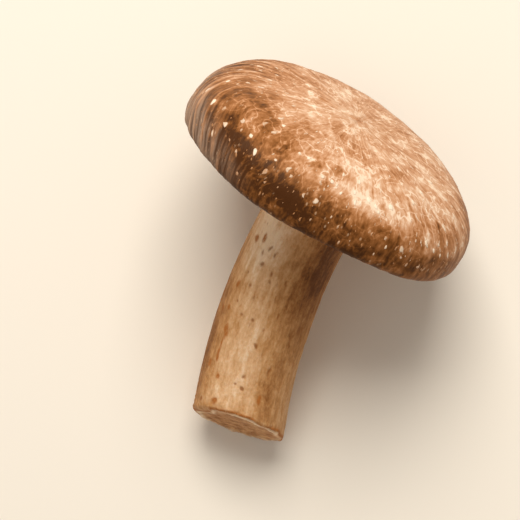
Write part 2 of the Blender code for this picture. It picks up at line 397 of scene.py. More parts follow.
class Nodes:
    """Builds one material's node tree, one call for each node."""

    def __init__(self, name: str) -> None:
        """Starts a material that holds a Principled BSDF and its output.

        Args:
            name: The material's name.
        """
        self.material = bpy.data.materials.new(name)
        self.material.use_nodes = True
        self.tree = self.material.node_tree
        self.shader = self.tree.nodes["Principled BSDF"]

    def put(self, socket: Socket, value: Socket | float | tuple[float, ...]) -> None:
        """Links a socket, or sets its constant."""
        if isinstance(value, bpy.types.NodeSocket):
            self.tree.links.new(value, socket)
        else:
            socket.default_value = value

    def mark(self, name: str, vector: bool = False) -> Socket:
        """Reads a point attribute of the piece, as a number or as a vector."""
        node = self.tree.nodes.new("ShaderNodeAttribute")
        node.attribute_name = name
        return node.outputs["Vector" if vector else "Fac"]

    def place(self) -> Socket:
        """The piece's Object coordinates."""
        return self.tree.nodes.new("ShaderNodeTexCoord").outputs["Object"]

    def noise(self, vector: Socket, scale: float, detail: float = 2.0, rough: float = 0.5) -> Socket:
        """Noise from 0 to 1.

        Args:
            vector: Where it is read.
            scale: Cells in one unit of the vector.
            detail: Octaves beyond the first.
            rough: Height of each octave over the one before.

        Returns:
            The noise's factor.
        """
        node = self.tree.nodes.new("ShaderNodeTexNoise")
        self.put(node.inputs["Vector"], vector)
        node.inputs["Scale"].default_value = scale
        node.inputs["Detail"].default_value = detail
        node.inputs["Roughness"].default_value = rough
        return node.outputs["Fac"]

    def warped(self, vector: Socket, scale: float, reach: float) -> Socket:
        """Places pushed aside by a coloured noise, so that what is read there curls.

        Args:
            vector: The plain places.
            scale: The noise's cells in one unit.
            reach: The most that a place moves.

        Returns:
            The moved places.
        """
        node = self.tree.nodes.new("ShaderNodeTexNoise")
        self.put(node.inputs["Vector"], vector)
        node.inputs["Scale"].default_value = scale
        node.inputs["Detail"].default_value = 1.0
        push = self.tree.nodes.new("ShaderNodeVectorMath")
        push.operation = "MULTIPLY_ADD"
        self.put(push.inputs[0], node.outputs["Color"])
        push.inputs[1].default_value = (2.0 * reach, 2.0 * reach, 2.0 * reach)
        self.put(push.inputs[2], vector)
        return push.outputs["Vector"]

    def line(self, value: Socket, width: float) -> Socket:
        """A thin line, 1 where a 0 to 1 noise crosses its middle and 0 a width away."""
        return self.stretch(self.sums("ABSOLUTE", self.sums("SUBTRACT", value, 0.5)), width, 0.0)

    def cells(self, vector: Socket, scale: float) -> tuple[Socket, Socket]:
        """Distance to the nearest scattered point, and that point's random colour."""
        node = self.tree.nodes.new("ShaderNodeTexVoronoi")
        self.put(node.inputs["Vector"], vector)
        node.inputs["Scale"].default_value = scale
        return node.outputs["Distance"], node.outputs["Color"]

    def sums(self, kind: str, first: Socket | float, second: Socket | float = 0.0) -> Socket:
        """One Math node of that kind."""
        node = self.tree.nodes.new("ShaderNodeMath")
        node.operation = kind
        self.put(node.inputs[0], first)
        self.put(node.inputs[1], second)
        return node.outputs[0]

    def times(self, first: Socket | float, second: Socket | float) -> Socket:
        """The product of two values."""
        return self.sums("MULTIPLY", first, second)

    def around_zero(self, value: Socket, height: float) -> Socket:
        """A 0 to 1 value turned into one that swings by height about zero."""
        return self.times(self.sums("SUBTRACT", value, 0.5), 2.0 * height)

    def add(self, *values: Socket | float) -> Socket:
        """The sum of the values."""
        total = values[0]
        for value in values[1:]:
            total = self.sums("ADD", total, value)
        return total

    def stretch(
        self, value: Socket, low: float, high: float, out_low: float = 0.0, out_high: float = 1.0
    ) -> Socket:
        """Maps low..high smoothly to out_low..out_high, and clamps outside.

        Args:
            value: What is mapped.
            low: Value that gives out_low.
            high: Value that gives out_high.
            out_low: First result.
            out_high: Last result.

        Returns:
            The mapped value.
        """
        node = self.tree.nodes.new("ShaderNodeMapRange")
        node.interpolation_type = "SMOOTHSTEP"
        self.put(node.inputs["Value"], value)
        limits = {"From Min": low, "From Max": high, "To Min": out_low, "To Max": out_high}
        for name, number in limits.items():
            node.inputs[name].default_value = number
        return node.outputs["Result"]

    def ramp(self, value: Socket, stops: tuple[tuple[float, Colour], ...]) -> Socket:
        """A colour ramp through (position, colour) stops."""
        node = self.tree.nodes.new("ShaderNodeValToRGB")
        self.put(node.inputs["Fac"], value)
        steps = node.color_ramp.elements
        while len(steps) < len(stops):
            steps.new(1.0)
        for step, (position, colour) in zip(steps, stops):
            step.position = position
            step.color = (*colour, 1.0)
        return node.outputs["Color"]

    def mix(self, share: Socket | float, first: Socket | Colour, second: Socket | Colour) -> Socket:
        """Blends two colours.

        Args:
            share: 0 for the first, 1 for the second.
            first: The colour below.
            second: The colour above.

        Returns:
            The blend.
        """
        node = self.tree.nodes.new("ShaderNodeMix")
        node.data_type = "RGBA"
        self.put(node.inputs["Factor"], share)
        for place, colour in ((6, first), (7, second)):  # the two sockets that take colours
            self.put(node.inputs[place], (*colour, 1.0) if isinstance(colour, tuple) else colour)
        return node.outputs[2]

    def bump(self, height: Socket, distance: float, strength: float = 1.0) -> None:
        """Sends a height to the shader's normal.

        Args:
            height: Height from 0 to 1.
            distance: Depth of the full height, in metres.
            strength: How much of it is used.
        """
        node = self.tree.nodes.new("ShaderNodeBump")
        node.inputs["Strength"].default_value = strength
        node.inputs["Distance"].default_value = distance
        self.put(node.inputs["Height"], height)
        self.put(self.shader.inputs["Normal"], node.outputs["Normal"])

    def finish(
        self, colour: Socket | Colour, roughness: Socket | float, subsurface: float = 0.0
    ) -> bpy.types.Material:
        """Sets the shader's main sockets.

        Args:
            colour: Base colour.
            roughness: Roughness.
            subsurface: Share of the light that scatters below the surface.

        Returns:
            The finished material.
        """
        base = (*colour, 1.0) if isinstance(colour, tuple) else colour
        self.put(self.shader.inputs["Base Color"], base)
        self.put(self.shader.inputs["Roughness"], roughness)
        self.shader.inputs["Subsurface Weight"].default_value = subsurface
        self.shader.inputs["Subsurface Radius"].default_value = (1.0, 0.45, 0.2)
        self.shader.inputs["Subsurface Scale"].default_value = 0.8 * MM
        return self.material


@dataclass(frozen=True)
class SkinFinish:
    """Satin brown cap skin: soft blotches, radial streaks with pale crests, partly painted highlight, and
    fine grain.
    """

    shades: tuple[tuple[float, Colour], ...] = (
        (0.0, (0.066, 0.020, 0.004)),
        (0.16, (0.150, 0.050, 0.010)),
        (0.34, (0.265, 0.096, 0.025)),
        (0.52, (0.410, 0.170, 0.062)),
        (0.70, (0.570, 0.288, 0.148)),
        (0.86, (0.700, 0.440, 0.282)),
        (1.0, (0.850, 0.645, 0.475)),
    )
    fleck: Colour = (0.760, 0.510, 0.320)
    roughness: float = 0.50
    specular: float = 0.15
    sheen_colour: Colour = (1.0, 0.80, 0.60)
    bloom: Colour = (0.430, 0.300, 0.215)
    bump_depth: float = 0.20 * MM
    patch_scale: float = 210.0  # the three scales are in cells per metre
    mottle_scale: float = 800.0
    net_scale: float = 260.0
    net_curl: float = 1.8 * MM
    net_width: float = 0.030
    streak_swing: float = 0.46  # how far each noise swings the tone
    fine_swing: float = 0.26
    patch_swing: float = 0.46
    mottle_swing: float = 0.24
    net_gain: float = 0.30
    gloss_swing: float = 0.12

    def make(self) -> bpy.types.Material:
        """Makes the material from the cap's marks: grain, dash, tone, streaky, creased and bloom."""
        nodes = Nodes("cap_skin")
        grain, dash = nodes.mark("grain", vector=True), nodes.mark("dash", vector=True)
        place = nodes.place()
        streak = nodes.noise(grain, 1.0, 3.0, 0.55)
        fine = nodes.noise(dash, 1.9, 2.0, 0.55)
        patch = nodes.noise(place, self.patch_scale, 3.0, 0.58)
        mottle = nodes.noise(place, self.mottle_scale, 3.0, 0.62)
        net = nodes.noise(nodes.warped(place, self.net_scale, self.net_curl), self.net_scale, 2.0, 0.50)
        streaky = nodes.mark("streaky")
        plain = nodes.sums("SUBTRACT", 1.0, streaky)
        even = nodes.sums("SUBTRACT", 1.0, nodes.times(nodes.mark("creased"), 0.5))
        tone = nodes.add(
            nodes.mark("tone"),
            nodes.times(nodes.around_zero(streak, self.streak_swing), nodes.add(0.2, streaky)),
            nodes.times(nodes.around_zero(fine, self.fine_swing), even),
            nodes.times(nodes.around_zero(patch, self.patch_swing), nodes.add(0.3, plain)),
            nodes.times(nodes.around_zero(mottle, self.mottle_swing), even),
            nodes.times(nodes.line(net, self.net_width), nodes.times(plain, self.net_gain)),
        )
        colour = nodes.ramp(tone, self.shades)
        distance, pick = nodes.cells(dash, 1.5)
        chosen = nodes.stretch(pick, 0.60, 0.66)
        pale = nodes.times(nodes.stretch(distance, 0.34, 0.12), chosen)
        pale = nodes.times(pale, nodes.stretch(patch, 0.44, 0.58))
        pale = nodes.times(pale, nodes.times(streaky, 0.7))
        dusted = nodes.times(nodes.mark("bloom"), nodes.stretch(streak, 0.34, 0.60, 0.12, 0.62))
        colour = nodes.mix(dusted, colour, self.bloom)
        colour = nodes.mix(pale, colour, self.fleck)
        height = nodes.add(nodes.times(fine, 0.40), nodes.times(mottle, 0.40), nodes.times(pale, 0.3))
        nodes.bump(height, self.bump_depth, 0.8)
        gloss = nodes.add(self.roughness, nodes.around_zero(mottle, self.gloss_swing))
        nodes.shader.inputs["Specular IOR Level"].default_value = self.specular
        nodes.shader.inputs["Specular Tint"].default_value = (*self.sheen_colour, 1.0)
        return nodes.finish(colour, gloss)


@dataclass(frozen=True)
class FleckFinish:
    """Dry scales on the cap, from tan to whitish."""

    light: Colour = (0.890, 0.740, 0.570)
    dark: Colour = (0.420, 0.190, 0.075)
    specular: float = 0.15
    roughness: float = 0.60
    mottle_scale: float = 1200.0
    mottle_swing: float = 0.45

    def make(self) -> bpy.types.Material:
        """Makes the material from the scales' mark: pale."""
        nodes = Nodes("cap_fleck")
        mottle = nodes.noise(nodes.place(), self.mottle_scale, 2.0, 0.6)
        share = nodes.add(nodes.mark("pale"), nodes.around_zero(mottle, self.mottle_swing))
        nodes.shader.inputs["Specular IOR Level"].default_value = self.specular
        colour = nodes.mix(nodes.stretch(share, 0.20, 1.20), self.dark, self.light)
        return nodes.finish(colour, self.roughness)


@dataclass(frozen=True)
class GillFinish:
    """Cream gills with painted shade in the valleys between the blades and painted light on their crests,
    with short tan dashes in the middle zone.
    """

    shades: tuple[tuple[float, Colour], ...] = (
        (0.0, (0.290, 0.140, 0.062)),
        (0.35, (0.570, 0.345, 0.195)),
        (0.65, (0.790, 0.560, 0.365)),
        (1.0, (0.900, 0.735, 0.545)),
    )
    dash: Colour = (0.300, 0.145, 0.060)
    roughness: float = 0.72
    subsurface: float = 0.12
    painted_valley_shade_tone: float = 0.28
    painted_crest_light_gain: float = 0.52
    streak_swing: float = 0.28
    bump_depth: float = 0.05 * MM

    def make(self) -> bpy.types.Material:
        """Makes the material from the gills' marks: grain, height and zone."""
        nodes = Nodes("gill_flesh")
        grain = nodes.mark("grain", vector=True)
        streak = nodes.noise(grain, 0.9, 3.0, 0.6)
        height = nodes.mark("height")
        # Painted shade and light: darker where the blades are low, paler on their crests.
        crests = nodes.times(height, self.painted_crest_light_gain)
        tone = nodes.add(self.painted_valley_shade_tone, crests, nodes.around_zero(streak, self.streak_swing))
        colour = nodes.ramp(tone, self.shades)
        zone = nodes.mark("zone")
        dash = nodes.stretch(nodes.noise(grain, 1.7, 2.0, 0.6), 0.56, 0.66)
        colour = nodes.mix(nodes.times(nodes.times(dash, zone), 0.8), colour, self.dash)
        nodes.bump(nodes.noise(nodes.place(), 2500.0, 2.0), self.bump_depth, 0.6)
        return nodes.finish(colour, self.roughness, self.subsurface)


@dataclass(frozen=True)
class StemFinish:
    """Tan fibrous stem with pits and rusty scuffs, and the flesh of its cut, darkened partly as painted
    shade, with a painted highlight on the lip inside its edge.
    """

    shades: tuple[tuple[float, Colour], ...] = (
        (0.0, (0.130, 0.040, 0.008)),
        (0.25, (0.310, 0.126, 0.036)),
        (0.5, (0.510, 0.256, 0.098)),
        (0.75, (0.690, 0.420, 0.224)),
        (1.0, (0.860, 0.635, 0.425)),
    )
    pit: Colour = (0.250, 0.078, 0.012)
    rust: Colour = (0.370, 0.115, 0.018)
    # The cut's colours are darker than the lit flesh: partly the flesh's own tan, partly painted shade on the
    # face, which turns from the light.
    flesh: tuple[tuple[float, Colour], ...] = (
        (0.30, (0.240, 0.088, 0.026)),
        (0.48, (0.440, 0.200, 0.076)),
        (0.72, (0.660, 0.370, 0.175)),
    )
    # The painted highlight on the raised lip inside the cut's edge.
    lip: Colour = (0.900, 0.690, 0.470)
    specular: float = 0.25
    sheen_colour: Colour = (1.0, 0.80, 0.60)
    roughness: float = 0.66
    subsurface: float = 0.08
    bump_depth: float = 0.24 * MM
    patch_scale: float = 260.0
    grit_scale: float = 480.0
    streak_swing: float = 0.26
    fine_swing: float = 0.20
    patch_swing: float = 0.26

    def make(self) -> bpy.types.Material:
        """Makes the material from the stem's marks: grain, weave, tone, pit, rust, cut and lip."""
        nodes = Nodes("stem_flesh")
        grain, weave = nodes.mark("grain", vector=True), nodes.mark("weave", vector=True)
        place = nodes.place()
        streak = nodes.noise(grain, 1.1, 3.0, 0.58)
        fine = nodes.noise(weave, 2.4, 2.0, 0.58)
        patch = nodes.noise(place, self.patch_scale, 3.0, 0.60)
        tone = nodes.add(
            nodes.mark("tone"),
            nodes.around_zero(streak, self.streak_swing),
            nodes.around_zero(fine, self.fine_swing),
            nodes.around_zero(patch, self.patch_swing),
        )
        skin = nodes.ramp(tone, self.shades)
        stained = nodes.times(nodes.mark("rust"), nodes.stretch(fine, 0.26, 0.50, 0.4, 0.92))
        skin = nodes.mix(stained, skin, self.rust)
        skin = nodes.mix(nodes.times(nodes.mark("pit"), 0.78), skin, self.pit)
        grit = nodes.noise(place, self.grit_scale, 4.0, 0.58)
        # The cut face: its flesh darkened partly as painted shade, with the painted highlight of the lip
        # mixed in.
        flesh = nodes.mix(nodes.times(nodes.mark("lip"), 0.90), nodes.ramp(grit, self.flesh), self.lip)
        colour = nodes.mix(nodes.mark("cut"), skin, flesh)
        height = nodes.add(nodes.times(fine, 0.6), nodes.times(grit, 0.4))
        nodes.bump(height, self.bump_depth, 0.9)
        nodes.shader.inputs["Specular IOR Level"].default_value = self.specular
        nodes.shader.inputs["Specular Tint"].default_value = (*self.sheen_colour, 1.0)
        return nodes.finish(colour, self.roughness, self.subsurface)


@dataclass(frozen=True)
class FloorFinish:
    """Pale matt floor."""

    colour: Colour = (0.870, 0.800, 0.700)

    def make(self) -> bpy.types.Material:
        """Makes the plain material."""
        return Nodes("floor").finish(self.colour, 0.8)


# The mushroom's parts


@dataclass
class Cap:
    """The domed cap: superellipse section, waved round the axis, with a rolled margin below.

    Angles run round the cap's axis. The side at 180 degrees faces the camera, 90 degrees is the
    picture's left end, 270 degrees its right end, and places along the skin are counted in mm
    from the apex.
    """

    lying: Lying
    view: View
    radius: float = 0.03103
    dome_height: float = 0.01245
    dome_power: float = 2.4
    lip_drop: float = 0.0034
    lip_power: float = 3.8
    lip_radius: float = 0.0266
    gill_edge_radius: float = 0.0238
    gill_edge_drop: float = 0.0024
    recess_drop: float = 0.0002
    wave_three: float = 0.0295
    wave_three_at: float = math.radians(12.2)
    wave_four: float = 0.0121
    wave_four_at: float = math.radians(51.4)
    lip_wave: float = 0.00035
    swell: float = 0.00025
    pole: tuple[float, float] = (-0.0028, 0.0002)  # where the fibres meet
    columns: int = 600
    rows: int = 150
    hidden_rows: int = 4
    broad_fibres: Ripple = Ripple(24.0, 0.15, 11)
    thin_fibres: Ripple = Ripple(44.0, 0.28, 12)
    fibre_wander: Ripple = Ripple(3.0, 0.16, 13)
    crest_lines: Ripple = Ripple(18.0, 0.070, 14)
    crest_wander: Ripple = Ripple(4.0, 0.12, 15, 2)
    lumps: Ripple = Ripple(5.0, 0.20, 3, 3)
    dents: Ripple = Ripple(8.0, 0.30, 21, 2)
    folds: Ripple = Ripple(17.0, 0.12, 31)
    tone_turn: Ripple = Ripple(7.0, 0.35, 41, 3)
    tone_slide: Ripple = Ripple(9.0, 0.35, 42, 3)
    zone_slide: Ripple = Ripple(13.0, 0.50, 43, 3)
    sweep_start: float = 24.0  # in mm from the apex
    sweep_rate: float = 1.9  # in degrees for each mm
    lump_height: float = 0.13  # in mm, like the next six
    fibre_height: float = 0.075
    dent_depth: float = 0.10
    crest_height: float = 0.15
    fold_height: float = 0.05
    inner_fold_height: float = 0.17
    sunk: float = 0.09
    base_tone: float = 0.76  # tones run from 0, dark, to 1, pale
    fibre_streak_and_painted_shade_gain: float = 0.20
    pale_crest_and_highlight_gain: float = 0.44
    halo_gain: float = 0.24
    dark_zones_and_painted_shade: Spots = (
        # angle and half width in degrees, where the darkening starts and is full, and its strength
        # Those from 168 to 222 degrees, low on the near side and the lower right, are partly the margin's
        # darker skin and partly painted shade where it turns from the light; the others darken the skin
        # itself.
        (100, 44, 9.0, 20.0, 0.08), (132, 26, 15.0, 25.0, 0.20), (168, 32, 27.0, 33.5, 0.38),
        (208, 22, 28.0, 34.0, 0.14), (222, 30, 32.0, 37.0, 0.10), (70, 25, 5.0, 14.0, 0.10),
        (20, 40, 18.0, 32.0, 0.20), (310, 30, 24.0, 34.0, 0.14),
    )
    dark_spots: Spots = (
        (131, 21.0, 3.5, 1.6, 0.20), (127, 23.4, 3.0, 1.2, 0.22), (120, 18.0, 6, 1.2, 0.16),
        (113, 23.0, 9, 2.2, 0.10), (154, 15.2, 2.2, 1.2, 0.14), (159, 18.0, 1.8, 1.0, 0.16),
        (176.3, 24.4, 2.0, 0.9, 0.36), (186, 22.2, 1.2, 0.9, 0.22), (157, 23.2, 9, 3.0, 0.18),
        (147, 31.6, 6, 2.0, 0.14), (181, 32.8, 8, 1.4, 0.12), (128, 21.5, 14, 4.0, 0.08),
        (240.3, 27.3, 0.9, 2.0, 0.36), (211, 26.3, 1.3, 0.8, 0.26), (226, 23.9, 0.7, 0.5, 0.30),
        (201, 34.5, 5, 0.9, 0.14), (210, 35.9, 4, 0.8, 0.14), (205, 24.2, 0.8, 1.4, 0.22),
        (236, 35.0, 12, 1.6, 0.10), (147, 31.0, 7, 1.5, 0.22), (135, 29.0, 4, 1.3, 0.22),
        (149, 24.9, 4, 1.3, 0.14), (160, 27.5, 5, 1.0, 0.12), (174, 34.2, 10, 1.8, 0.20),
        (241, 26.8, 0.9, 1.5, 0.16), (200, 13.2, 1.6, 0.9, 0.12), (200, 5.2, 6, 1.0, 0.20),
        (172, 4.4, 7, 0.9, 0.20), (107, 8.9, 7, 1.0, 0.12), (92, 4.5, 9, 0.7, 0.12),
        (277, 5.8, 14, 0.7, 0.14), (302, 4.6, 6, 0.6, 0.16), (222, 7.5, 5, 0.8, 0.14),
        (235, 7.4, 5, 0.8, 0.12), (301, 16.7, 2, 1.0, 0.14), (185, 10.5, 20, 3.0, 0.04),
        (35, 27.0, 9, 3.5, 0.20), (330, 24.0, 8, 3.0, 0.16), (5, 31.0, 10, 2.0, 0.20),
    )
    pale_spots: Spots = (
        # The spots from 188 to 230 degrees and 24 to 31 mm from the apex are partly paler skin and partly a
        # painted highlight across the cap's shoulder.
        (192, 3.0, 10, 0.9, 0.22), (146, 4.5, 12, 1.0, 0.12), (110, 4.0, 20, 0.8, 0.08),
        (218, 9.6, 6, 1.0, 0.12), (287, 8.7, 7, 0.8, 0.14), (118, 9.6, 5, 0.8, 0.20),
        (86, 11.0, 6, 0.6, 0.14), (71, 13.0, 4, 0.7, 0.16), (214, 24.2, 14, 2.2, 0.20),
        (204, 26.8, 7, 1.8, 0.16), (222, 27.5, 8, 1.6, 0.14), (230, 31.0, 16, 3.0, 0.10),
        (180, 20.8, 9, 2.6, 0.10), (120, 33.5, 13, 4.5, 0.20), (100, 21.0, 20, 6.0, 0.05),
        (262, 20.0, 14, 8.0, 0.06), (188, 27.0, 4, 1.2, 0.14), (197, 26.8, 8, 2.2, 0.22),
        (206, 28.6, 8, 2.0, 0.16), (78, 23.7, 3, 0.9, 0.20), (195, 19.0, 25, 4.0, 0.04),
        (20, 14.0, 25, 3.0, 0.10), (310, 16.0, 14, 3.0, 0.10),
    )

    scales: Spots = (
        # larger scales placed by angle: angle in degrees, distance from the apex, half length and
        # half width in mm, and how pale it is
        (119, 9.5, 0.95, 0.60, 0.90), (85, 11.1, 0.80, 0.45, 0.80), (71, 13.0, 1.00, 0.45, 0.85),
        (139.5, 12.0, 0.75, 0.30, 0.75), (180, 28.0, 0.60, 0.30, 0.60), (260, 29.0, 0.80, 0.35, 0.80),
    )
    seen_scales: Spots = (
        # larger scales placed by the photograph: place across and down, length and width, all in
        # its pixels, and how pale it is
        # Those from 344 to 432 across and 172 to 217 down stand partly for pale scales and partly for a
        # painted highlight: glossy patches on the shoulder made as pale scales.
        (284, 125, 6, 5, 1), (251, 136, 7, 4, 1), (255, 152, 10, 4, 1), (225, 124, 9, 6, 0.85),
        (214, 101, 11.8, 5, 1.15), (212, 133, 10, 3, 0.7), (207, 90, 10.9, 3.3, 1.05),
        (260, 66, 9.1, 3.6, 1.05), (261, 87, 9.1, 3, 0.95), (236, 151, 5, 3, 0.6), (276, 160, 5, 4, 0.75),
        (265, 172, 9, 6, 0.55), (265, 182, 4, 3, 0.5), (281, 118, 9, 4, 0.75), (264, 123, 9, 4, 0.6),
        (243, 121, 9, 5, 0.7), (224, 108, 7, 4, 0.6), (241, 130, 6, 3, 0.6), (275, 132, 9, 4, 0.65),
        (238, 83, 5, 2.5, 0.8), (248, 82, 7.3, 2.7, 0.95), (228, 81, 7.7, 3.3, 1.05),
        (240, 69, 12, 2, 0.8), (300, 153, 5, 4, 0.8), (309, 157, 6, 5, 0.85), (288, 169, 9, 5, 0.7),
        (291, 176, 6, 4, 0.6), (316, 201, 8, 5, 0.8), (303, 195, 7, 3, 0.7), (237, 174, 5, 3, 0.4),
        (332, 181, 6, 5, 1), (323, 177, 6, 5, 0.8), (337, 185, 7, 3, 0.75), (341, 193, 6, 4, 0.85),
        (355, 202, 8, 3.5, 0.9), (361, 203, 7, 2, 0.6), (391, 207, 8, 7, 1), (376, 206, 8, 4, 1),
        (379, 212, 5, 3, 0.8), (413, 202, 9, 3, 0.85), (421, 192, 7, 4, 1), (430, 182, 7, 4, 0.75),
        (445, 199, 6, 3, 0.8), (454, 216, 8, 3, 0.85), (399, 168, 6, 3, 0.8), (386, 247, 6, 3, 0.8),
        (386, 238, 5, 4, 0.6), (338, 243, 6, 3, 0.5), (401, 258, 4, 3, 0.6), (407, 265, 6, 2.5, 0.5),
        (402, 250, 10, 5, 0.8), (426.2, 243.3, 9.1, 4.1, 0.85), (444, 228, 10, 3.5, 1),
        (434, 251, 7, 4, 1), (448, 255, 9, 2.5, 0.9), (456, 249, 10, 2.5, 0.85), (463, 245, 7, 3, 0.7),
        (447, 243, 9, 3, 0.75), (439, 245, 5, 4, 0.75), (440, 256, 6, 3, 0.7), (446, 265, 7, 2.5, 0.5),
        (417, 217, 12, 1.5, 0.7), (410, 216, 14, 1.5, 0.7), (427, 210, 8, 2, 0.7),
        (338, 227, 7, 2.5, 0.5), (372, 234, 5, 2, 0.5), (416, 241, 6, 2.5, 0.6), (360, 182, 8, 4, 0.75),
        (355, 192, 8, 5, 0.75), (369, 200, 9, 6, 0.85), (344, 174, 8, 3, 0.65),
    )
    seen_growth: float = 1.12  # how much larger they are made than in the photograph
    seen_rows: int = 400  # steps down and round the skin at which they can lie
    seen_columns: int = 1440
    seen_reach: float = 40.0  # in mm from the apex: beyond it the margin hides the skin

    def wave(self, angle: Array) -> Array:
        """The radius at an angle as a share of the plain one: 1 plus a three-fold and a four-fold cosine."""
        three = self.wave_three * np.cos(3 * (angle - self.wave_three_at))
        return 1 + three + self.wave_four * np.cos(4 * (angle - self.wave_four_at))

    @cached_property
    def section(self) -> tuple[Array, Array, Array]:
        """The section from the apex to the gills' edge, as radius, height and distance from the apex.

        The dome is r = R sin(t)^(2/n), z = H cos(t)^(2/n), the lip the same about its own lowest
        ring, and the roll an ellipse's quarter up to the gills' edge.
        """
        turn = np.linspace(0.0, math.pi / 2, 1500)
        sine, cosine = np.sin(turn), np.clip(np.cos(turn), 0.0, 1.0)
        power, lip_power = 2 / self.dome_power, 2 / self.lip_power
        dome = np.stack([self.radius * sine**power, self.dome_height * cosine**power])
        lip_width = self.radius - self.lip_radius
        lip = np.stack([self.lip_radius + lip_width * cosine**lip_power, -self.lip_drop * sine**lip_power])
        rise = self.lip_drop - self.gill_edge_drop
        roll_width = self.lip_radius - self.gill_edge_radius
        roll = np.stack([self.lip_radius - roll_width * sine, -self.lip_drop + rise * (1 - cosine)])
        whole = np.concatenate([dome, lip[:, 1:], roll[:, 1:]], axis=1)
        length = np.concatenate([[0.0], np.cumsum(np.linalg.norm(np.diff(whole, axis=1), axis=0))])
        return whole[0], whole[1], length / MM

    def ring(self, along: Array) -> tuple[Array, Array]:
        """Plain radius and height at a distance along the section.

        Args:
            along: Distance from the apex, in mm.

        Returns:
            Radius and height, in metres.
        """
        radius, height, length = self.section
        return np.interp(along, length, radius), np.interp(along, length, height)

    @cached_property
    def all_scales(self) -> Spots:
        """The scales placed by angle, then those placed by the photograph, carried to the skin.

        Each of the second goes to the place of the plain skin that the camera sees and that falls
        nearest to it in the picture.

        Returns:
            One row for each scale, as in the first table.
        """
        along = np.linspace(0.12, self.section[2][-1], self.seen_rows)
        angle = np.linspace(-math.pi, math.pi, self.seen_columns, endpoint=False)
        plain = self.surface(*self.ring(along[:, None]), angle[None, :])
        matrix = np.array(self.lying.matrix())
        laid = plain @ matrix[:3, :3].T + matrix[:3, 3]
        outward = grid_normals(plain) @ matrix[:3, :3].T
        away = np.sum(outward * (self.view.position - laid), axis=-1) <= 0
        hidden = away | (along[:, None] > self.seen_reach)
        picture = self.view.project(laid)
        half_pixel = self.seen_growth / 2 / (self.view.pixels_per_metre * MM)
        rows = []
        for x, y, length, width, pale in self.seen_scales:
            gap = np.hypot(picture[..., 0] - x, picture[..., 1] - y) + self.view.picture * hidden
            row, column = np.unravel_index(np.argmin(gap), gap.shape)
            turn = round(math.degrees(angle[column]) % 360, 2)
            sizes = (round(length * half_pixel, 2), round(width * half_pixel, 2))
            rows.append((turn, round(float(along[row]), 1), *sizes, pale))
        return self.scales + tuple(rows)

    def surface(self, radius: Array, height: Array, angle: Array) -> Array:
        """Points of the plain waved cap, as the frame's solid has them.

        The fibres meet a little aside of the middle: on the dome a place moves aside by the
        pole's shift times 1 - (r/R)^2, and its height is then the dome's there,
        H (1 - (r/R)^n)^(1/n). Both lengths across are multiplied by the wave, and the height
        gains a five-fold wave on the lip and a soft swell on the dome.

        Args:
            radius: Plain radius r.
            height: Plain height.
            angle: Angle about the axis.

        Returns:
            One point for each place.
        """
        upper = height > 0
        aside = np.where(upper, 1 - (radius / self.radius) ** 2, 0.0)
        x = radius * np.cos(angle) + self.pole[0] * aside
        y = radius * np.sin(angle) + self.pole[1] * aside
        share = np.clip(np.hypot(x, y) / self.radius, 0, 1)
        dome = self.dome_height * (1 - share**self.dome_power) ** (1 / self.dome_power)
        level = np.where(upper, dome, height)
        around_axis = np.arctan2(y, x)
        wave = self.wave(around_axis)
        on_lip = np.clip(-level / self.lip_drop, 0, 1) ** 2 * (radius > self.gill_edge_radius + GAP)
        on_dome = np.clip(level / self.dome_height, 0, 1)
        swell = np.cos(2 * math.pi * x / 0.027 + 0.7) * np.cos(2 * math.pi * y / 0.033 - 0.4)
        z = level + self.lip_wave * np.cos(5 * around_axis + 1.0) * on_lip + self.swell * swell * on_dome
        return np.stack([x * wave, y * wave, z], axis=-1)

    def sweep(self, angle: Array, along: Array) -> Array:
        """How far the fibres have turned aside, in radians: none above 24 mm, and most at the left end.

        Past 24 mm by a distance p they turn 1.9 degrees for each mm of p^2 / (p + 2).

        Args:
            angle: Angle about the axis.
            along: Distance from the apex, in mm.

        Returns:
            One angle for each place.
        """
        turn = np.degrees(angle) % 360
        past = np.maximum(along - self.sweep_start, 0.0)
        share = smooth_step(turn, 20, 95) * smooth_step(turn, 172, 128)
        return np.radians(self.sweep_rate) * past**2 / (past + 2.0) * share

    def fibre(self, angle: Array, along: Array) -> Array:
        """Ridges that run from the apex to the margin, from -1 to 1, a little crooked and of two widths.

        Args:
            angle: Angle about the axis.
            along: Distance from the apex, in mm.

        Returns:
            One number for each place.
        """
        straight = angle - self.sweep(angle, along)
        crooked = straight + 0.035 * self.fibre_wander.at(angle, along)
        return (self.broad_fibres.at(crooked, along) + 0.8 * self.thin_fibres.at(crooked, along)) / 1.5

    def crest(self, angle: Array, along: Array) -> Array:
        """Sharp crests down the slope, from 0 to 1: they stand where a noise crosses zero.

        Args:
            angle: Angle about the axis.
            along: Distance from the apex, in mm.

        Returns:
            One number for each place.
        """
        straight = angle - self.sweep(angle, along)
        crooked = straight + 0.05 * self.crest_wander.at(angle, along)
        return 1 - np.clip(np.abs(self.crest_lines.at(crooked, along)) / 0.55, 0, 1)

    def creased(self, angle: Array, along: Array) -> Array:
        """Where the crests stand, from 0 to 1: at the left end, widest near the margin.

        The band turns by 24 degrees from the dome to the margin, and the opposite end has about a
        third of it.

        Args:
            angle: Angle about the axis.
            along: Distance from the apex, in mm.

        Returns:
            One number for each place.
        """
        near = np.sin(angle + np.radians(14.0 - 24.0 * smooth_step(along, 29.0, 37.0)))
        share = smooth_step(near, 0.45, 0.92) + 0.35 * smooth_step(-near, 0.60, 0.95)
        return share * smooth_step(along, 11.0, 28.0)

    def bloom(self, angle: Array, along: Array) -> Array:
        """Where the crests are powdery, from 0 to 1: on the outside of the left end's margin."""
        outside = smooth_step(along, 28.0, 35.0) * smooth_step(along, 43.0, 38.5)
        return self.creased(angle, along) * outside * (np.sin(angle) > 0)

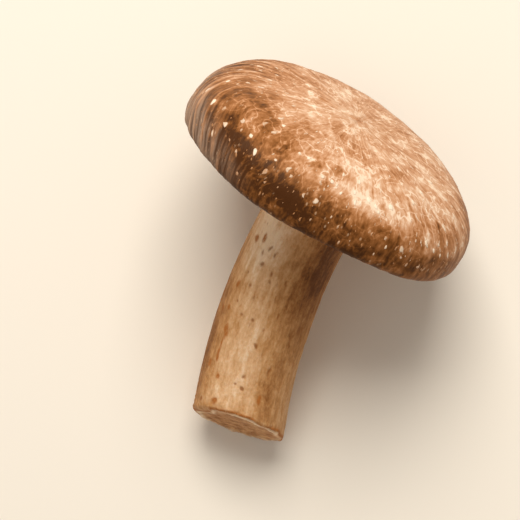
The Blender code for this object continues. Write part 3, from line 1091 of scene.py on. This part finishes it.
    def streaky(self, angle: Array, along: Array) -> Array:
        """How far fibres outdo blotches, from 0 to 1: most at the two ends and down the margin.

        Args:
            angle: Angle about the axis.
            along: Distance from the apex, in mm.

        Returns:
            One number for each place.
        """
        low = smooth_step(along, 24.0, 36.0)
        top = smooth_step(along, 12.0, 3.0)
        return np.clip(0.22 + 0.35 * self.creased(angle, along) + 0.35 * low + 0.25 * top, 0, 1)

    def relief(self, angle: Array, along: Array) -> Array:
        """How far the skin stands, in metres: lumps, fibres, crests, dents and the margin's folds.

        Args:
            angle: Angle about the axis.
            along: Distance from the apex, in mm.

        Returns:
            Heights along the normal.
        """
        radius, height = (part / MM for part in self.ring(along))
        dents = smooth_step(self.dents.at(angle, along), 0.25, 0.8)
        below = smooth_step(-height, -3.5, 2.2)
        inner = smooth_step(radius, 30.3, 26.3) * smooth_step(-height, 0.5, 2.0)
        folds = 1 - 2 * np.abs(self.folds.at(angle, along))
        ridged = smooth_step(radius, 0.5, 6.0) * self.streaky(angle, along)
        ridges = self.fibre_height * self.fibre(angle, along) - self.dent_depth * dents
        crests = self.creased(angle, along) * (self.crest(angle, along) - 0.4)
        total = self.lump_height * self.lumps.at(angle, along) + ridged * ridges + self.crest_height * crests
        total = total + below * self.fold_height * folds
        total = total + inner * (self.inner_fold_height * folds - self.fold_height)
        return (total - self.sunk) * MM

    def tone(self, angle: Array, along: Array) -> Array:
        """How pale the skin is, from 0 to 1: palest round the apex, darkest low on the near side. Parts of it
        are painted light: shade low on the margin, a highlight on the shoulder, and light and shade that
        follow the fibres and crests.

        Args:
            angle: Angle about the axis.
            along: Distance from the apex, in mm.

        Returns:
            One number for each place.
        """
        radius, height = (part / MM for part in self.ring(along))
        inner = smooth_step(radius, 28.8, 25.2) * smooth_step(-height, 1.0, 2.4)
        crooked = angle + 0.07 * self.tone_turn.at(angle, along)
        uneven = along + 1.4 * self.tone_slide.at(angle, along)
        ragged = along + 2.6 * self.zone_slide.at(angle, along)
        # The margin darkens away from the apex, and the zones darken it more: partly darker skin, partly
        # painted shade low on the near side and the lower right.
        shade = 0.05 * smooth_step(uneven, 5.0, 12.0) + 0.25 * smooth_step(uneven, 20.0, 36.0)
        for at_angle, wide, low, high, strength in self.dark_zones_and_painted_shade:
            aside = np.angle(np.exp(1j * (crooked - math.radians(at_angle)))) / math.radians(wide)
            shade = shade + strength * np.exp(-(aside**2)) * smooth_step(ragged, low, high)
        marks = spots(crooked, uneven, self.pale_spots) - spots(crooked, uneven, self.dark_spots)
        # Pale halos round the scales, among them those that stand partly for the painted highlight.
        halos = tuple(
            (at, place, 80 * wide / max(place, 8.0), 1.1 * half, self.halo_gain * pale)
            for at, place, half, wide, pale in self.all_scales
        )
        marks = marks + spots(angle, along, halos)
        # Paler on the raised fibres and darker between them: partly the skin's streaks, partly painted light
        # and shade that follow the relief.
        streaks = self.fibre(angle, along) * self.fibre_streak_and_painted_shade_gain * self.streaky(angle, along)
        crests = smooth_step(self.crest(angle, along), 0.40, 1.0)
        # Pale lines along the crests at the left end and darker between them: partly the skin's pale crests,
        # partly painted highlight on them and painted shade between.
        lines = self.creased(angle, along) * (self.pale_crest_and_highlight_gain * crests - 0.15)
        return self.base_tone - shade + 0.30 * inner + marks + streaks + lines

    def build(self) -> None:
        """Makes the skin: one closed surface that turns in under the margin to the recess."""
        angle = np.linspace(0, 2 * math.pi, self.columns, endpoint=False)[None, :]
        along = np.linspace(0.12, self.section[2][-1], self.rows)[:, None]
        radius, height = self.ring(along)
        plain = self.surface(radius, height, angle)
        skin = plain + grid_normals(plain) * self.relief(angle, along)[..., None]
        inward = np.linspace(1.0, 0.15, self.hidden_rows)[:, None]
        level = np.full_like(inward, -self.recess_drop)
        whole = np.concatenate([skin, self.surface(self.gill_edge_radius * inward, level, angle)])
        depth = np.concatenate([along, along[-1:] + self.gill_edge_radius / MM * (1.02 - inward)])
        wide, long = np.broadcast_arrays(angle, depth)
        wander = wide - self.sweep(wide, long) + 0.04 * self.fibre_wander.at(wide, long)
        marks = {
            "grain": around(wander, long, 26.0, 1 / 6.0),
            "dash": around(wander, long, 26.0, 1 / 2.2),
            "tone": self.tone(wide, np.minimum(long, self.section[2][-1])),
            "streaky": self.streaky(wide, long),
            "creased": self.creased(wide, long),
            "bloom": self.bloom(wide, long),
        }
        points = self.lying.place(with_poles(whole))
        faces = closed_grid(len(whole), self.columns)
        Piece("cap", points, faces, Slot.SKIN, "cap", poled(marks)).build(SkinFinish().make())


@dataclass
class Flecks:
    """Small dry scales that lie on the cap, longer down the slope than across."""

    cap: Cap
    bands: tuple[tuple[float, ...], ...] = (
        # angle and half width in degrees, from and to in mm, how many, least and most half length in
        # mm, slimmest and widest as a share of the length, and how pale the palest are
        (180, 180, 9, 37.5, 420, 0.16, 0.66, 0.28, 0.50, 0.48),
        (92, 26, 13, 34, 46, 0.35, 1.15, 0.20, 0.36, 0.70),
        (224, 34, 27, 37, 90, 0.22, 0.70, 0.22, 0.42, 0.72),
        (150, 30, 25, 34, 22, 0.30, 0.70, 0.28, 0.50, 0.48),
    )
    points: int = 9
    lift: float = 0.07  # the three heights are in mm above the skin
    edge_lift: float = -0.04
    root_lift: float = -0.12
    inner_ring: float = 0.58  # as a share of the outer ring's size
    uneven: tuple[float, float] = (0.62, 1.22)  # least and most reach of an edge point
    bow: float = 0.20
    lean: float = 0.14  # in radians
    brighter: float = 1.12  # the least tone of a scale, as a share of its skin's
    rim_share: float = 0.35  # how pale the edge of a scale is, as a share of its middle
    seed: int = 19

    def skin(self, angle: Array, along: Array, lift: Array) -> Array:
        """Points a little above the cap's skin, relief and all.

        Args:
            angle: Angle about the axis.
            along: Distance from the apex, in mm.
            lift: Height above the skin, in mm.

        Returns:
            One point for each place.
        """
        def plain(at_angle: Array, at_along: Array) -> Array:
            """Points of the plain cap."""
            return self.cap.surface(*self.cap.ring(at_along), at_angle)

        down = plain(angle, along + 0.2) - plain(angle, along - 0.2)
        across = plain(angle + 0.01, along) - plain(angle - 0.01, along)
        normal = np.cross(down, across)
        normal /= np.linalg.norm(normal, axis=-1, keepdims=True)
        return plain(angle, along) + normal * (self.cap.relief(angle, along) + lift * MM)[..., None]

    def strewn(self, rng: np.random.Generator, *band: float) -> Array:
        """Random scales in one band, as rows like those of the cap's table.

        Args:
            rng: Where the random numbers come from.
            band: The ten numbers of the band.

        Returns:
            One row for each scale.
        """
        at, wide, start, end, count, low, high, slim, broad, palest = band
        chance = rng.uniform(0, 1, (5, int(count)))
        half = low + (high - low) * chance[2] ** 2.4
        place = start + (end - start) * chance[1] ** 0.6
        width = half * (slim + (broad - slim) * chance[3])
        pale = palest * chance[4] ** 1.5
        return np.stack([at + wide * (2 * chance[0] - 1), place, half, width, pale], axis=-1)

    def build(self) -> None:
        """Makes every scale from two rings and two middle points that follow the skin, in one piece."""
        rng = np.random.default_rng(self.seed)
        strewn = [self.strewn(rng, *band) for band in self.bands]
        # The cap's scales come first, among them those that stand partly for a painted highlight.
        rows = np.concatenate([np.array(self.cap.all_scales), *strewn])
        angle, along, half, broad, pale = rows.T
        angle = np.radians(angle)
        pale = np.maximum(pale, self.brighter * self.cap.tone(angle, along))  # none is darker than its skin
        slim, total = broad / half, len(rows)
        turn = np.linspace(0, 2 * math.pi, self.points, endpoint=False)
        jitter = rng.uniform(*self.uneven, (total, self.points))
        u = half[:, None] * np.cos(turn) * jitter
        curl = (rng.normal(0, self.bow, total) / half)[:, None]
        v = (half * slim)[:, None] * np.sin(turn) * jitter + curl * u**2
        ring = np.ones(self.points)
        share = np.concatenate([[0.0], self.inner_ring * ring, ring, [0.0]])
        lift = np.concatenate([[self.lift], 0.8 * self.lift * ring, self.edge_lift * ring, [self.root_lift]])
        middle = np.zeros((total, 1))
        u = np.concatenate([middle, u, u, middle], axis=1) * share
        v = np.concatenate([middle, v, v, middle], axis=1) * share
        radius = np.maximum(self.cap.ring(along)[0] / MM, 2.0)[:, None]
        turning = (self.cap.sweep(angle, along + 0.5) - self.cap.sweep(angle, along - 0.5))[:, None]
        lean = rng.normal(0, self.lean, total)[:, None] - np.arctan(radius * turning)
        at_angle = angle[:, None] + (v * np.cos(lean) - u * np.sin(lean)) / radius
        at_along = along[:, None] + u * np.cos(lean) + v * np.sin(lean)
        parts = self.skin(at_angle, at_along, np.broadcast_to(lift, at_along.shape))
        each = parts.shape[1]
        base = (np.arange(total) * each)[:, None, None]
        one = np.arange(self.points)
        nxt = (one + 1) % self.points
        top = np.stack([0 * one, 1 + one, 1 + nxt], axis=-1)
        side = np.stack([1 + one, 1 + self.points + one, 1 + self.points + nxt, 1 + nxt], axis=-1)
        under = np.stack([0 * one + each - 1, 1 + self.points + nxt, 1 + self.points + one], axis=-1)
        faces = [(block[None] + base).reshape(-1, block.shape[1]) for block in (top, side, under)]
        points = self.cap.lying.place(parts.reshape(-1, 3))
        fading = np.concatenate([[1.0], ring, self.rim_share * ring, [self.rim_share]])
        marks = {"pale": (pale[:, None] * fading).ravel()}
        Piece("cap_flecks", points, faces, Slot.SKIN, "", marks).build(FleckFinish().make())


@dataclass
class Gills:
    """The disc of gills: blades of three lengths that run in from the edge to the stem."""

    lying: Lying
    cap: Cap
    edge_radius: float = 0.0239
    hub_radius: float = 0.0108
    bed_drop: float = 0.0018
    bulge: float = 0.0009
    blade_height: float = 0.0015
    hub_shift: float = -0.0018
    blades: int = 240
    columns_per_blade: int = 6
    rows: int = 34
    ripple: Ripple = Ripple(60.0, 14.0, 51)
    wander: Ripple = Ripple(9.0, 3.0, 52)
    reaches: tuple[float, ...] = (2.0, 0.30, 0.58, 0.30)  # how far in each of four blades runs

    def build(self) -> None:
        """Makes the gills as one closed surface: back, edge, blades and hub."""
        count = self.blades * self.columns_per_blade
        angle = np.linspace(0, 2 * math.pi, count, endpoint=False)
        inward = np.linspace(0, 1, self.rows)
        wide, inner = np.broadcast_arrays(angle[None, :], inward[:, None])
        blade = np.arange(count) // self.columns_per_blade
        across = (np.arange(count) % self.columns_per_blade) / self.columns_per_blade
        crest = np.sin(math.pi * across) ** 0.8
        reach = np.array(self.reaches)[blade % len(self.reaches)]
        chance = scattered(np.stack([blade, blade * 0, blade * 0], axis=-1), 5)
        reach = reach * (0.8 + 0.4 * chance)
        taper = np.clip((reach[None, :] - inner) / 0.22, 0, 1)
        rise = np.clip(0.45 + inner / 0.12, 0, 1) * np.clip((1.02 - inner) / 0.16, 0, 1)
        height = crest[None, :] * taper * rise * (1 + 0.14 * self.ripple.at(wide, inner))
        swing = 0.028 * np.sin(math.pi * inner) * np.sin(5 * wide) + 0.012 * self.wander.at(wide, inner)
        turned = wide + swing
        radius = self.edge_radius + (self.hub_radius - self.edge_radius) * inner
        radius = radius + (1 - inner) * (self.cap.wave(turned) - 1) * self.edge_radius
        bed = self.bed_drop + self.bulge * np.sin(math.pi * inner**0.8)
        drop = bed + self.blade_height * height * (1 - 0.12 * chance[None, :])
        under = np.stack(
            [radius * np.cos(turned), radius * np.sin(turned) + inner * self.hub_shift, -drop],
            axis=-1,
        )
        rim = self.edge_radius * self.cap.wave(angle)
        level = np.full(count, -self.cap.recess_drop - GAP)
        back_row = np.stack([rim * np.cos(angle), rim * np.sin(angle), level], axis=-1)
        back = np.stack([back_row * [0.2, 0.2, 1.0], back_row])
        hub = under[-1:] * 1.0
        hub[..., :2] = (hub[..., :2] - [0.0, self.hub_shift]) * 0.3 + [0.0, self.hub_shift]
        whole = np.concatenate([back, under, hub])
        flat_in = np.concatenate([[0.0, 0.0], inward, [1.0]])
        wide = np.broadcast_to(angle, whole.shape[:2])
        long = np.broadcast_to(flat_in[:, None] * 12.4, wide.shape)
        zone = smooth_step(flat_in, 0.10, 0.35) * smooth_step(flat_in, 1.0, 0.75)
        marks = {
            "grain": around(wide, long, 17.0, 1 / 5.0),
            # The blades' heights, which the finish turns into painted shade in the valleys and paler crests.
            "height": np.concatenate([np.zeros((2, count)), height, np.zeros((1, count))]),
            "zone": np.broadcast_to(zone[:, None], wide.shape),
        }
        points = self.lying.place(with_poles(whole))
        faces = closed_grid(len(whole), count)
        Piece("gills", points, faces, Slot.GILL, "gills", poled(marks)).build(GillFinish().make())


@dataclass
class Stem:
    """The curved stem, flared under the gills and cut aslant at the foot.

    Angles run round the stem as they do round the cap, and places along it are counted in mm
    down from its top.
    """

    lying: Lying
    top_y: float = -0.0018
    top_drop: float = 0.0021
    foot_x: float = -0.0075
    foot_y: float = -0.0123
    foot_drop: float = 0.0545
    bend_power: float = 2.3
    radius: float = 0.00936
    flare: float = 0.0010
    flare_length: float = 0.0045
    foot_swell: float = 0.0003
    rounding: float = 0.0009
    slant: float = math.radians(20.8)
    slant_at: float = math.radians(151.2)
    columns: int = 280
    side_rows: int = 200
    edge_rows: int = 9
    cut_rows: int = 34
    random_pits: int = 60
    seed: int = 7
    fibre_wander: Ripple = Ripple(1.6, 0.12, 60)
    broad_fibres: Ripple = Ripple(11.0, 0.09, 61)
    thin_fibres: Ripple = Ripple(20.0, 0.2, 62)
    lumps: Ripple = Ripple(2.2, 0.10, 63, 3)
    spot_turn: Ripple = Ripple(4.0, 0.5, 64, 2)
    spot_slide: Ripple = Ripple(6.0, 0.6, 65, 2)
    wrinkles: Ripple = Ripple(7.0, 0.35, 66, 2)
    torn: Ripple = Ripple(6.0, 0.7, 67, 3)
    blotches: Ripple = Ripple(12.0, 1.3, 68, 3)
    cut_edge: Ripple = Ripple(3.4, 0.0, 71, 4)
    cut_breaks: Ripple = Ripple(3.0, 0.0, 73, 3)
    cut_lip: Ripple = Ripple(2.6, 0.0, 77, 3)
    fibre_height: float = 0.085  # in mm, like the next five
    lump_height: float = 0.12
    wrinkle_height: float = 0.10
    torn_height: float = 0.36
    pit_depth: float = 0.10
    sunk: float = 0.16
    base_tone: float = 0.62  # tones run from 0, dark, to 1, pale
    pits: Spots = (
        (155, 19.0, 2.6, 0.70, 1.0), (148.5, 17.0, 2.0, 0.70, 0.8), (171, 19.9, 2.2, 0.70, 0.8),
        (157, 15.3, 2.0, 0.80, 0.8), (167, 16.0, 1.6, 0.70, 0.8), (172.5, 21.5, 2.6, 0.50, 0.7),
        (198, 27.7, 2.0, 0.60, 0.9), (171, 30.5, 2.2, 0.40, 0.8), (183, 35.3, 2.4, 0.55, 1.0),
        (178, 41.7, 2.8, 0.45, 0.8), (168, 44.0, 2.6, 0.60, 0.8), (180, 44.8, 2.8, 0.70, 1.2),
        (194, 20.3, 1.8, 0.80, 0.8), (141, 22.0, 2.4, 0.40, 0.7), (152, 24.0, 2.4, 0.60, 0.7),
        (143, 28.2, 3.0, 0.40, 0.7), (155, 30.0, 3.4, 0.40, 0.7), (122, 50.3, 3.4, 0.60, 1.0),
        (208, 39.5, 2.4, 1.30, 0.8), (190, 24.0, 1.4, 1.20, 0.6), (163, 26.0, 1.6, 0.60, 0.6),
        (187, 31.5, 1.6, 0.60, 0.6),
    )
    scuffs: Spots = (
        (142, 14.3, 3.0, 1.1, 0.9), (129, 15.5, 3.0, 0.6, 0.7), (141, 34.3, 3.4, 1.4, 1.0),
        (138, 37.0, 1.8, 1.0, 0.7), (117, 31.0, 3.4, 0.8, 0.8), (132, 30.0, 3.0, 0.7, 0.7),
        (136, 39.4, 2.6, 1.3, 0.9), (126, 41.5, 3.5, 0.8, 0.8), (144, 43.6, 3.2, 0.8, 0.7),
        (202, 46.5, 2.5, 1.2, 0.9), (147, 50.2, 4.0, 0.9, 0.9), (133, 25.0, 3.0, 0.9, 0.6),
        (153, 38.5, 2.0, 0.9, 0.4), (20, 30.0, 5.0, 1.2, 0.8), (320, 22.0, 5.0, 1.0, 0.7),
        (60, 43.0, 5.0, 1.0, 0.8), (280, 40.0, 5.0, 1.5, 0.7),
    )
    pale_spots: Spots = (
        # The spot at 140 degrees, at the top of the left side, is painted light where the cap's shadow falls.
        (140, 13.0, 30, 7.0, 0.50), (162, 46.5, 20, 4.5, 0.16), (172, 36.5, 16, 4.5, 0.14),
        (165, 28.0, 18, 4.0, 0.05), (300, 36.0, 40, 8.0, 0.08),
    )
    dark_spots: Spots = (
        # The spot at 236 degrees is a painted shadow down the right side under the cap; those at 100, 116 and
        # 214 degrees, along the left edge and at the foot's right, are partly darker skin and partly painted
        # shade.
        (236, 16.0, 40, 21.0, 0.56), (100, 37.0, 32, 24.0, 0.40), (116, 41.0, 16, 9.0, 0.14),
        (214, 47.0, 18, 9.0, 0.22), (20, 18.0, 30, 9.0, 0.10),
    )

    @property
    def length(self) -> float:
        """Length of the centre line's drop."""
        return self.foot_drop - self.top_drop

    @property
    def foot_radius(self) -> float:
        """Radius of the flat of the cut."""
        return float(self.plain_radius(np.array(self.length))) - self.rounding

    def plain_radius(self, down: Array) -> Array:
        """Radius at a distance down: plain, plus a flare that fades, plus a swelling at the foot."""
        flare = self.flare * np.exp(-down / self.flare_length)
        return self.radius + flare + self.foot_swell * (down / self.length) ** 2

    def bend(self, x: Array, y: Array, down: Array) -> Array:
        """Carries the straight stem's points to the curved one, each ring square to the centre line.

        The line moves aside with the power of the share of the way down, and the cut is slanted
        by pushing points down in proportion to their place across it.

        Args:
            x: Across the straight stem.
            y: Across it, the other way.
            down: Distance below its top.

        Returns:
            Points of the upright mushroom.
        """
        share = np.clip(down / self.length, 0, 1)
        aside = share**self.bend_power
        lateral = self.foot_y - self.top_y
        line = np.stack([self.foot_x * aside, self.top_y + lateral * aside, -self.top_drop - down], axis=-1)
        steep = self.bend_power * share ** (self.bend_power - 1) / self.length
        downward = np.stack([steep * self.foot_x, steep * lateral, -np.ones_like(steep)], axis=-1)
        downward /= np.linalg.norm(downward, axis=-1, keepdims=True)
        across_x = np.stack([np.ones_like(steep), np.zeros_like(steep), steep * self.foot_x], axis=-1)
        across_x /= np.linalg.norm(across_x, axis=-1, keepdims=True)
        across_y = np.cross(across_x, downward)
        toward_short = x * math.cos(self.slant_at) + y * math.sin(self.slant_at)
        push = -math.tan(self.slant) * toward_short * np.clip((share - 0.8) / 0.2, 0, 1)
        return line + x[..., None] * across_x + y[..., None] * across_y + push[..., None] * downward

    def scattered_pits(self) -> Spots:
        """Random pits for the whole stem, longer than wide, as a table of spots."""
        rng = np.random.default_rng(self.seed)
        count = self.random_pits
        table = np.stack(
            [
                rng.uniform(0, 360, count),
                rng.uniform(0.1, 0.98, count) * self.length / MM,
                rng.uniform(0.8, 2.0, count),
                rng.uniform(0.3, 0.9, count),
                rng.uniform(0.2, 0.6, count),
            ],
            axis=-1,
        )
        return tuple(tuple(row) for row in table.tolist())

    def fibre(self, angle: Array, down: Array) -> Array:
        """Ridges down the stem, from -1 to 1, a little crooked and of two widths.

        Args:
            angle: Angle about the stem.
            down: Distance below its top, in mm.

        Returns:
            One number for each place.
        """
        crooked = angle + 0.05 * self.fibre_wander.at(angle, down)
        return (self.broad_fibres.at(crooked, down) + 0.8 * self.thin_fibres.at(crooked, down)) / 1.5

    def rows(self) -> tuple[Array, Array]:
        """Radius and drop of each ring: the hidden top, the side, the rounded edge and the cut."""
        down = np.linspace(0.0, self.length - self.rounding, self.side_rows)
        turn = np.linspace(0.0, math.pi / 2, self.edge_rows)[1:]
        edge_radius = self.foot_radius + self.rounding * np.cos(turn)
        edge_down = self.length - self.rounding + self.rounding * np.sin(turn)
        cut_radius = self.foot_radius * np.linspace(1.0, 0.03, self.cut_rows)[1:]
        radius = np.concatenate([[0.3 * self.radius], self.plain_radius(down), edge_radius, cut_radius])
        depth = np.concatenate([[0.0], down, edge_down, np.full(len(cut_radius), self.length)])
        return radius[:, None], depth[:, None]

    def cut_marks(self, angle: Array, radius: Array, down: Array) -> tuple[Array, Array, Array]:
        """Where the cut flesh shows, the rusty torn edge of the skin round it, and a lip inside, raised a
        little and painted pale as a highlight.

        All three go by the distance over the rounded edge and onto the face, made ragged, and the
        skin wraps further over it on one side.

        Args:
            angle: Angle about the stem.
            radius: Distance from its centre line.
            down: Distance below its top, in mm.

        Returns:
            Three numbers from 0 to 1 for each place.
        """
        over = down - (self.length - self.rounding) / MM + (self.foot_radius + self.rounding - radius) / MM
        ragged = self.cut_edge.at(angle, down)
        wrapped = 2.3 * np.exp(-(((np.degrees(angle) - 116.0) / 19.0) ** 2))
        over = np.where(down < 10.0, -9.0, over) - 0.45 - 1.05 * ragged - wrapped
        broken = smooth_step(self.cut_breaks.at(angle, down), -0.60, -0.05)
        tear = np.exp(-(((over - 0.42) / 0.62) ** 2)) * broken
        # The lip, raised a little and painted pale as a highlight.
        present = 0.3 + 0.7 * smooth_step(self.cut_lip.at(angle, down), -0.40, 0.20)
        lip = np.exp(-(((over - 1.60) / 0.62) ** 2)) * present
        return smooth_step(over, 0.68, 0.92), tear, lip

    def build(self) -> None:
        """Makes the side, the rounded edge and the cut face as one closed surface."""
        angle = np.linspace(0, 2 * math.pi, self.columns, endpoint=False)[None, :]
        radius, depth = self.rows()
        wide, long = np.broadcast_arrays(angle, depth / MM)
        last = self.length / MM
        on_side = smooth_step(long, 0.2, 1.5) * smooth_step(radius / self.foot_radius, 0.6, 0.97)
        crooked = wide + 0.06 * self.spot_turn.at(wide, long)
        uneven = long + 0.5 * self.spot_slide.at(wide, long)
        pits = spots(crooked, uneven, self.pits) + spots(crooked, uneven, self.scattered_pits())
        pits = smooth_step(pits, 0.15, 0.75)
        fibres = self.fibre(wide, long)
        lower = smooth_step(long, 18.0, 32.0)
        wrinkles = (1 - 2 * np.abs(self.wrinkles.at(wide, long))) * lower
        torn = self.torn.at(wide, long) * smooth_step(long, last - 3.0, last - 0.4)
        oval = 1 + 0.012 * np.cos(2 * wide + 5 * long * MM / self.length) + 0.008 * np.cos(5 * wide)
        raised = self.fibre_height * fibres * (1 - 0.5 * lower) + self.lump_height * self.lumps.at(wide, long)
        raised = raised + self.wrinkle_height * wrinkles + self.torn_height * torn - self.pit_depth * pits
        reach = radius + (raised - self.sunk) * MM * on_side
        cut, tear, lip = self.cut_marks(wide, radius, long)
        flat = (radius * np.cos(wide) / MM, radius * np.sin(wide) / MM, 0 * wide)
        grit = layered_noise(np.stack(flat, axis=-1) * 0.9, 75, 4)
        pushed = 0.20 * (grit * cut - cut + lip) - 0.08 * tear - 0.06
        below = depth + pushed * MM * (long > last - 1.0)
        points = self.bend(reach * oval * np.cos(wide), reach * oval * np.sin(wide), below)
        # Painted shade and light from the spot tables: the shadow down the right side, shade along the edges,
        # light at the top of the left side.
        shade = spots(crooked, uneven, self.dark_spots) - spots(crooked, uneven, self.pale_spots)
        # Paler on the ridges and wrinkles and darker between them: partly the fibres' own streaks, partly
        # painted shade in the grooves.
        ridged = fibres * (0.13 - 0.07 * lower) + 0.07 * wrinkles
        blotch = 0.22 * self.blotches.at(wide, long)
        rust = smooth_step(spots(crooked, uneven, self.scuffs) + blotch, 0.14, 0.56) * (1 - cut)
        marks = {
            "grain": around(wide, long, 9.4, 1 / 5.0),
            "weave": around(wide, long, 9.4, 1 / 1.8),
            "tone": self.base_tone - shade + ridged,
            "pit": pits * (1 - cut),
            "rust": np.maximum(rust, np.minimum(1.4 * tear, 1.0)),
            "cut": cut,
            "lip": lip,
        }
        placed = self.lying.place(with_poles(points))
        faces = closed_grid(len(depth), self.columns)
        Piece("stem", placed, faces, Slot.STEM, "stem", poled(marks)).build(StemFinish().make())


# Floor, light and camera


@dataclass(frozen=True)
class Lamp:
    """One square soft light."""

    name: str
    towards: tuple[float, float, float]  # amounts of the picture's right, up and towards the camera
    distance: float  # from the middle of the mushroom
    size: float
    power: float
    colour: Colour


@dataclass(frozen=True)
class Studio:
    """Pale floor, soft light from the far side of the cap, and a camera that looks down."""

    view: View
    middle_height: float = 0.02
    floor_half: float = 1.5
    floor_drop: float = 0.02 * MM
    world_colour: Colour = (1.0, 0.94, 0.87)
    world_strength: float = 0.34
    lamps: tuple[Lamp, ...] = (
        Lamp("key", (0.02, 0.80, 0.90), 0.75, 0.45, 5.9, (1.0, 0.965, 0.90)),
        Lamp("fill", (-0.7, -0.5, 0.8), 0.9, 1.4, 1.3, (1.0, 0.94, 0.86)),
    )

    def camera(self) -> None:
        """Places the camera where the photograph's stood."""
        data = bpy.data.cameras.new("camera")
        data.sensor_width = 36.0
        data.lens = self.view.focal / self.view.picture * data.sensor_width
        data.clip_start, data.clip_end = 0.01, 10.0
        made = bpy.data.objects.new("camera", data)
        made.matrix_world = self.view.stand()
        bpy.context.scene.collection.objects.link(made)
        bpy.context.scene.camera = made

    def light(self, lamp: Lamp) -> None:
        """Adds one square area light that faces the mushroom.

        Args:
            lamp: What it is and where it stands.
        """
        right, up, toward = self.view.axes()
        way = (right * lamp.towards[0] + up * lamp.towards[1] + toward * lamp.towards[2]).normalized()
        data = bpy.data.lights.new(lamp.name, "AREA")
        data.energy, data.size, data.color = lamp.power, lamp.size, lamp.colour
        made = bpy.data.objects.new(lamp.name, data)
        made.location = Vector((0.0, 0.0, self.middle_height)) + way * lamp.distance
        made.rotation_euler = way.to_track_quat("Z", "Y").to_euler()
        made.visible_camera = False
        bpy.context.scene.collection.objects.link(made)

    def floor(self) -> None:
        """Lays the floor, a wide square just below the mushroom."""
        half, level = self.floor_half, -self.floor_drop
        mesh = bpy.data.meshes.new("floor")
        around_it = ((-half, -half), (half, -half), (half, half), (-half, half))
        mesh.from_pydata([(x, y, level) for x, y in around_it], [], [(0, 1, 2, 3)])
        mesh.materials.append(FloorFinish().make())
        made = bpy.data.objects.new("floor", mesh)
        bpy.context.scene.collection.objects.link(made)

    def build(self) -> None:
        """Sets up the whole studio."""
        self.camera()
        self.floor()
        for lamp in self.lamps:
            self.light(lamp)
        world = bpy.data.worlds.new("soft")
        world.use_nodes = True
        background = world.node_tree.nodes["Background"]
        background.inputs["Color"].default_value = (*self.world_colour, 1.0)
        background.inputs["Strength"].default_value = self.world_strength
        bpy.context.scene.world = world
        bpy.context.scene.view_settings.view_transform = "Standard"


def main() -> None:
    """Builds the studio and the mushroom."""
    logging.basicConfig(level=logging.INFO, format="%(name)s %(message)s")
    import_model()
    lying = Lying()
    view = View(lying)
    Studio(view).build()
    cap = Cap(lying, view)
    cap.build()
    Flecks(cap).build()
    Gills(lying, cap).build()
    Stem(lying).build()


if __name__ == "__main__":
    main()
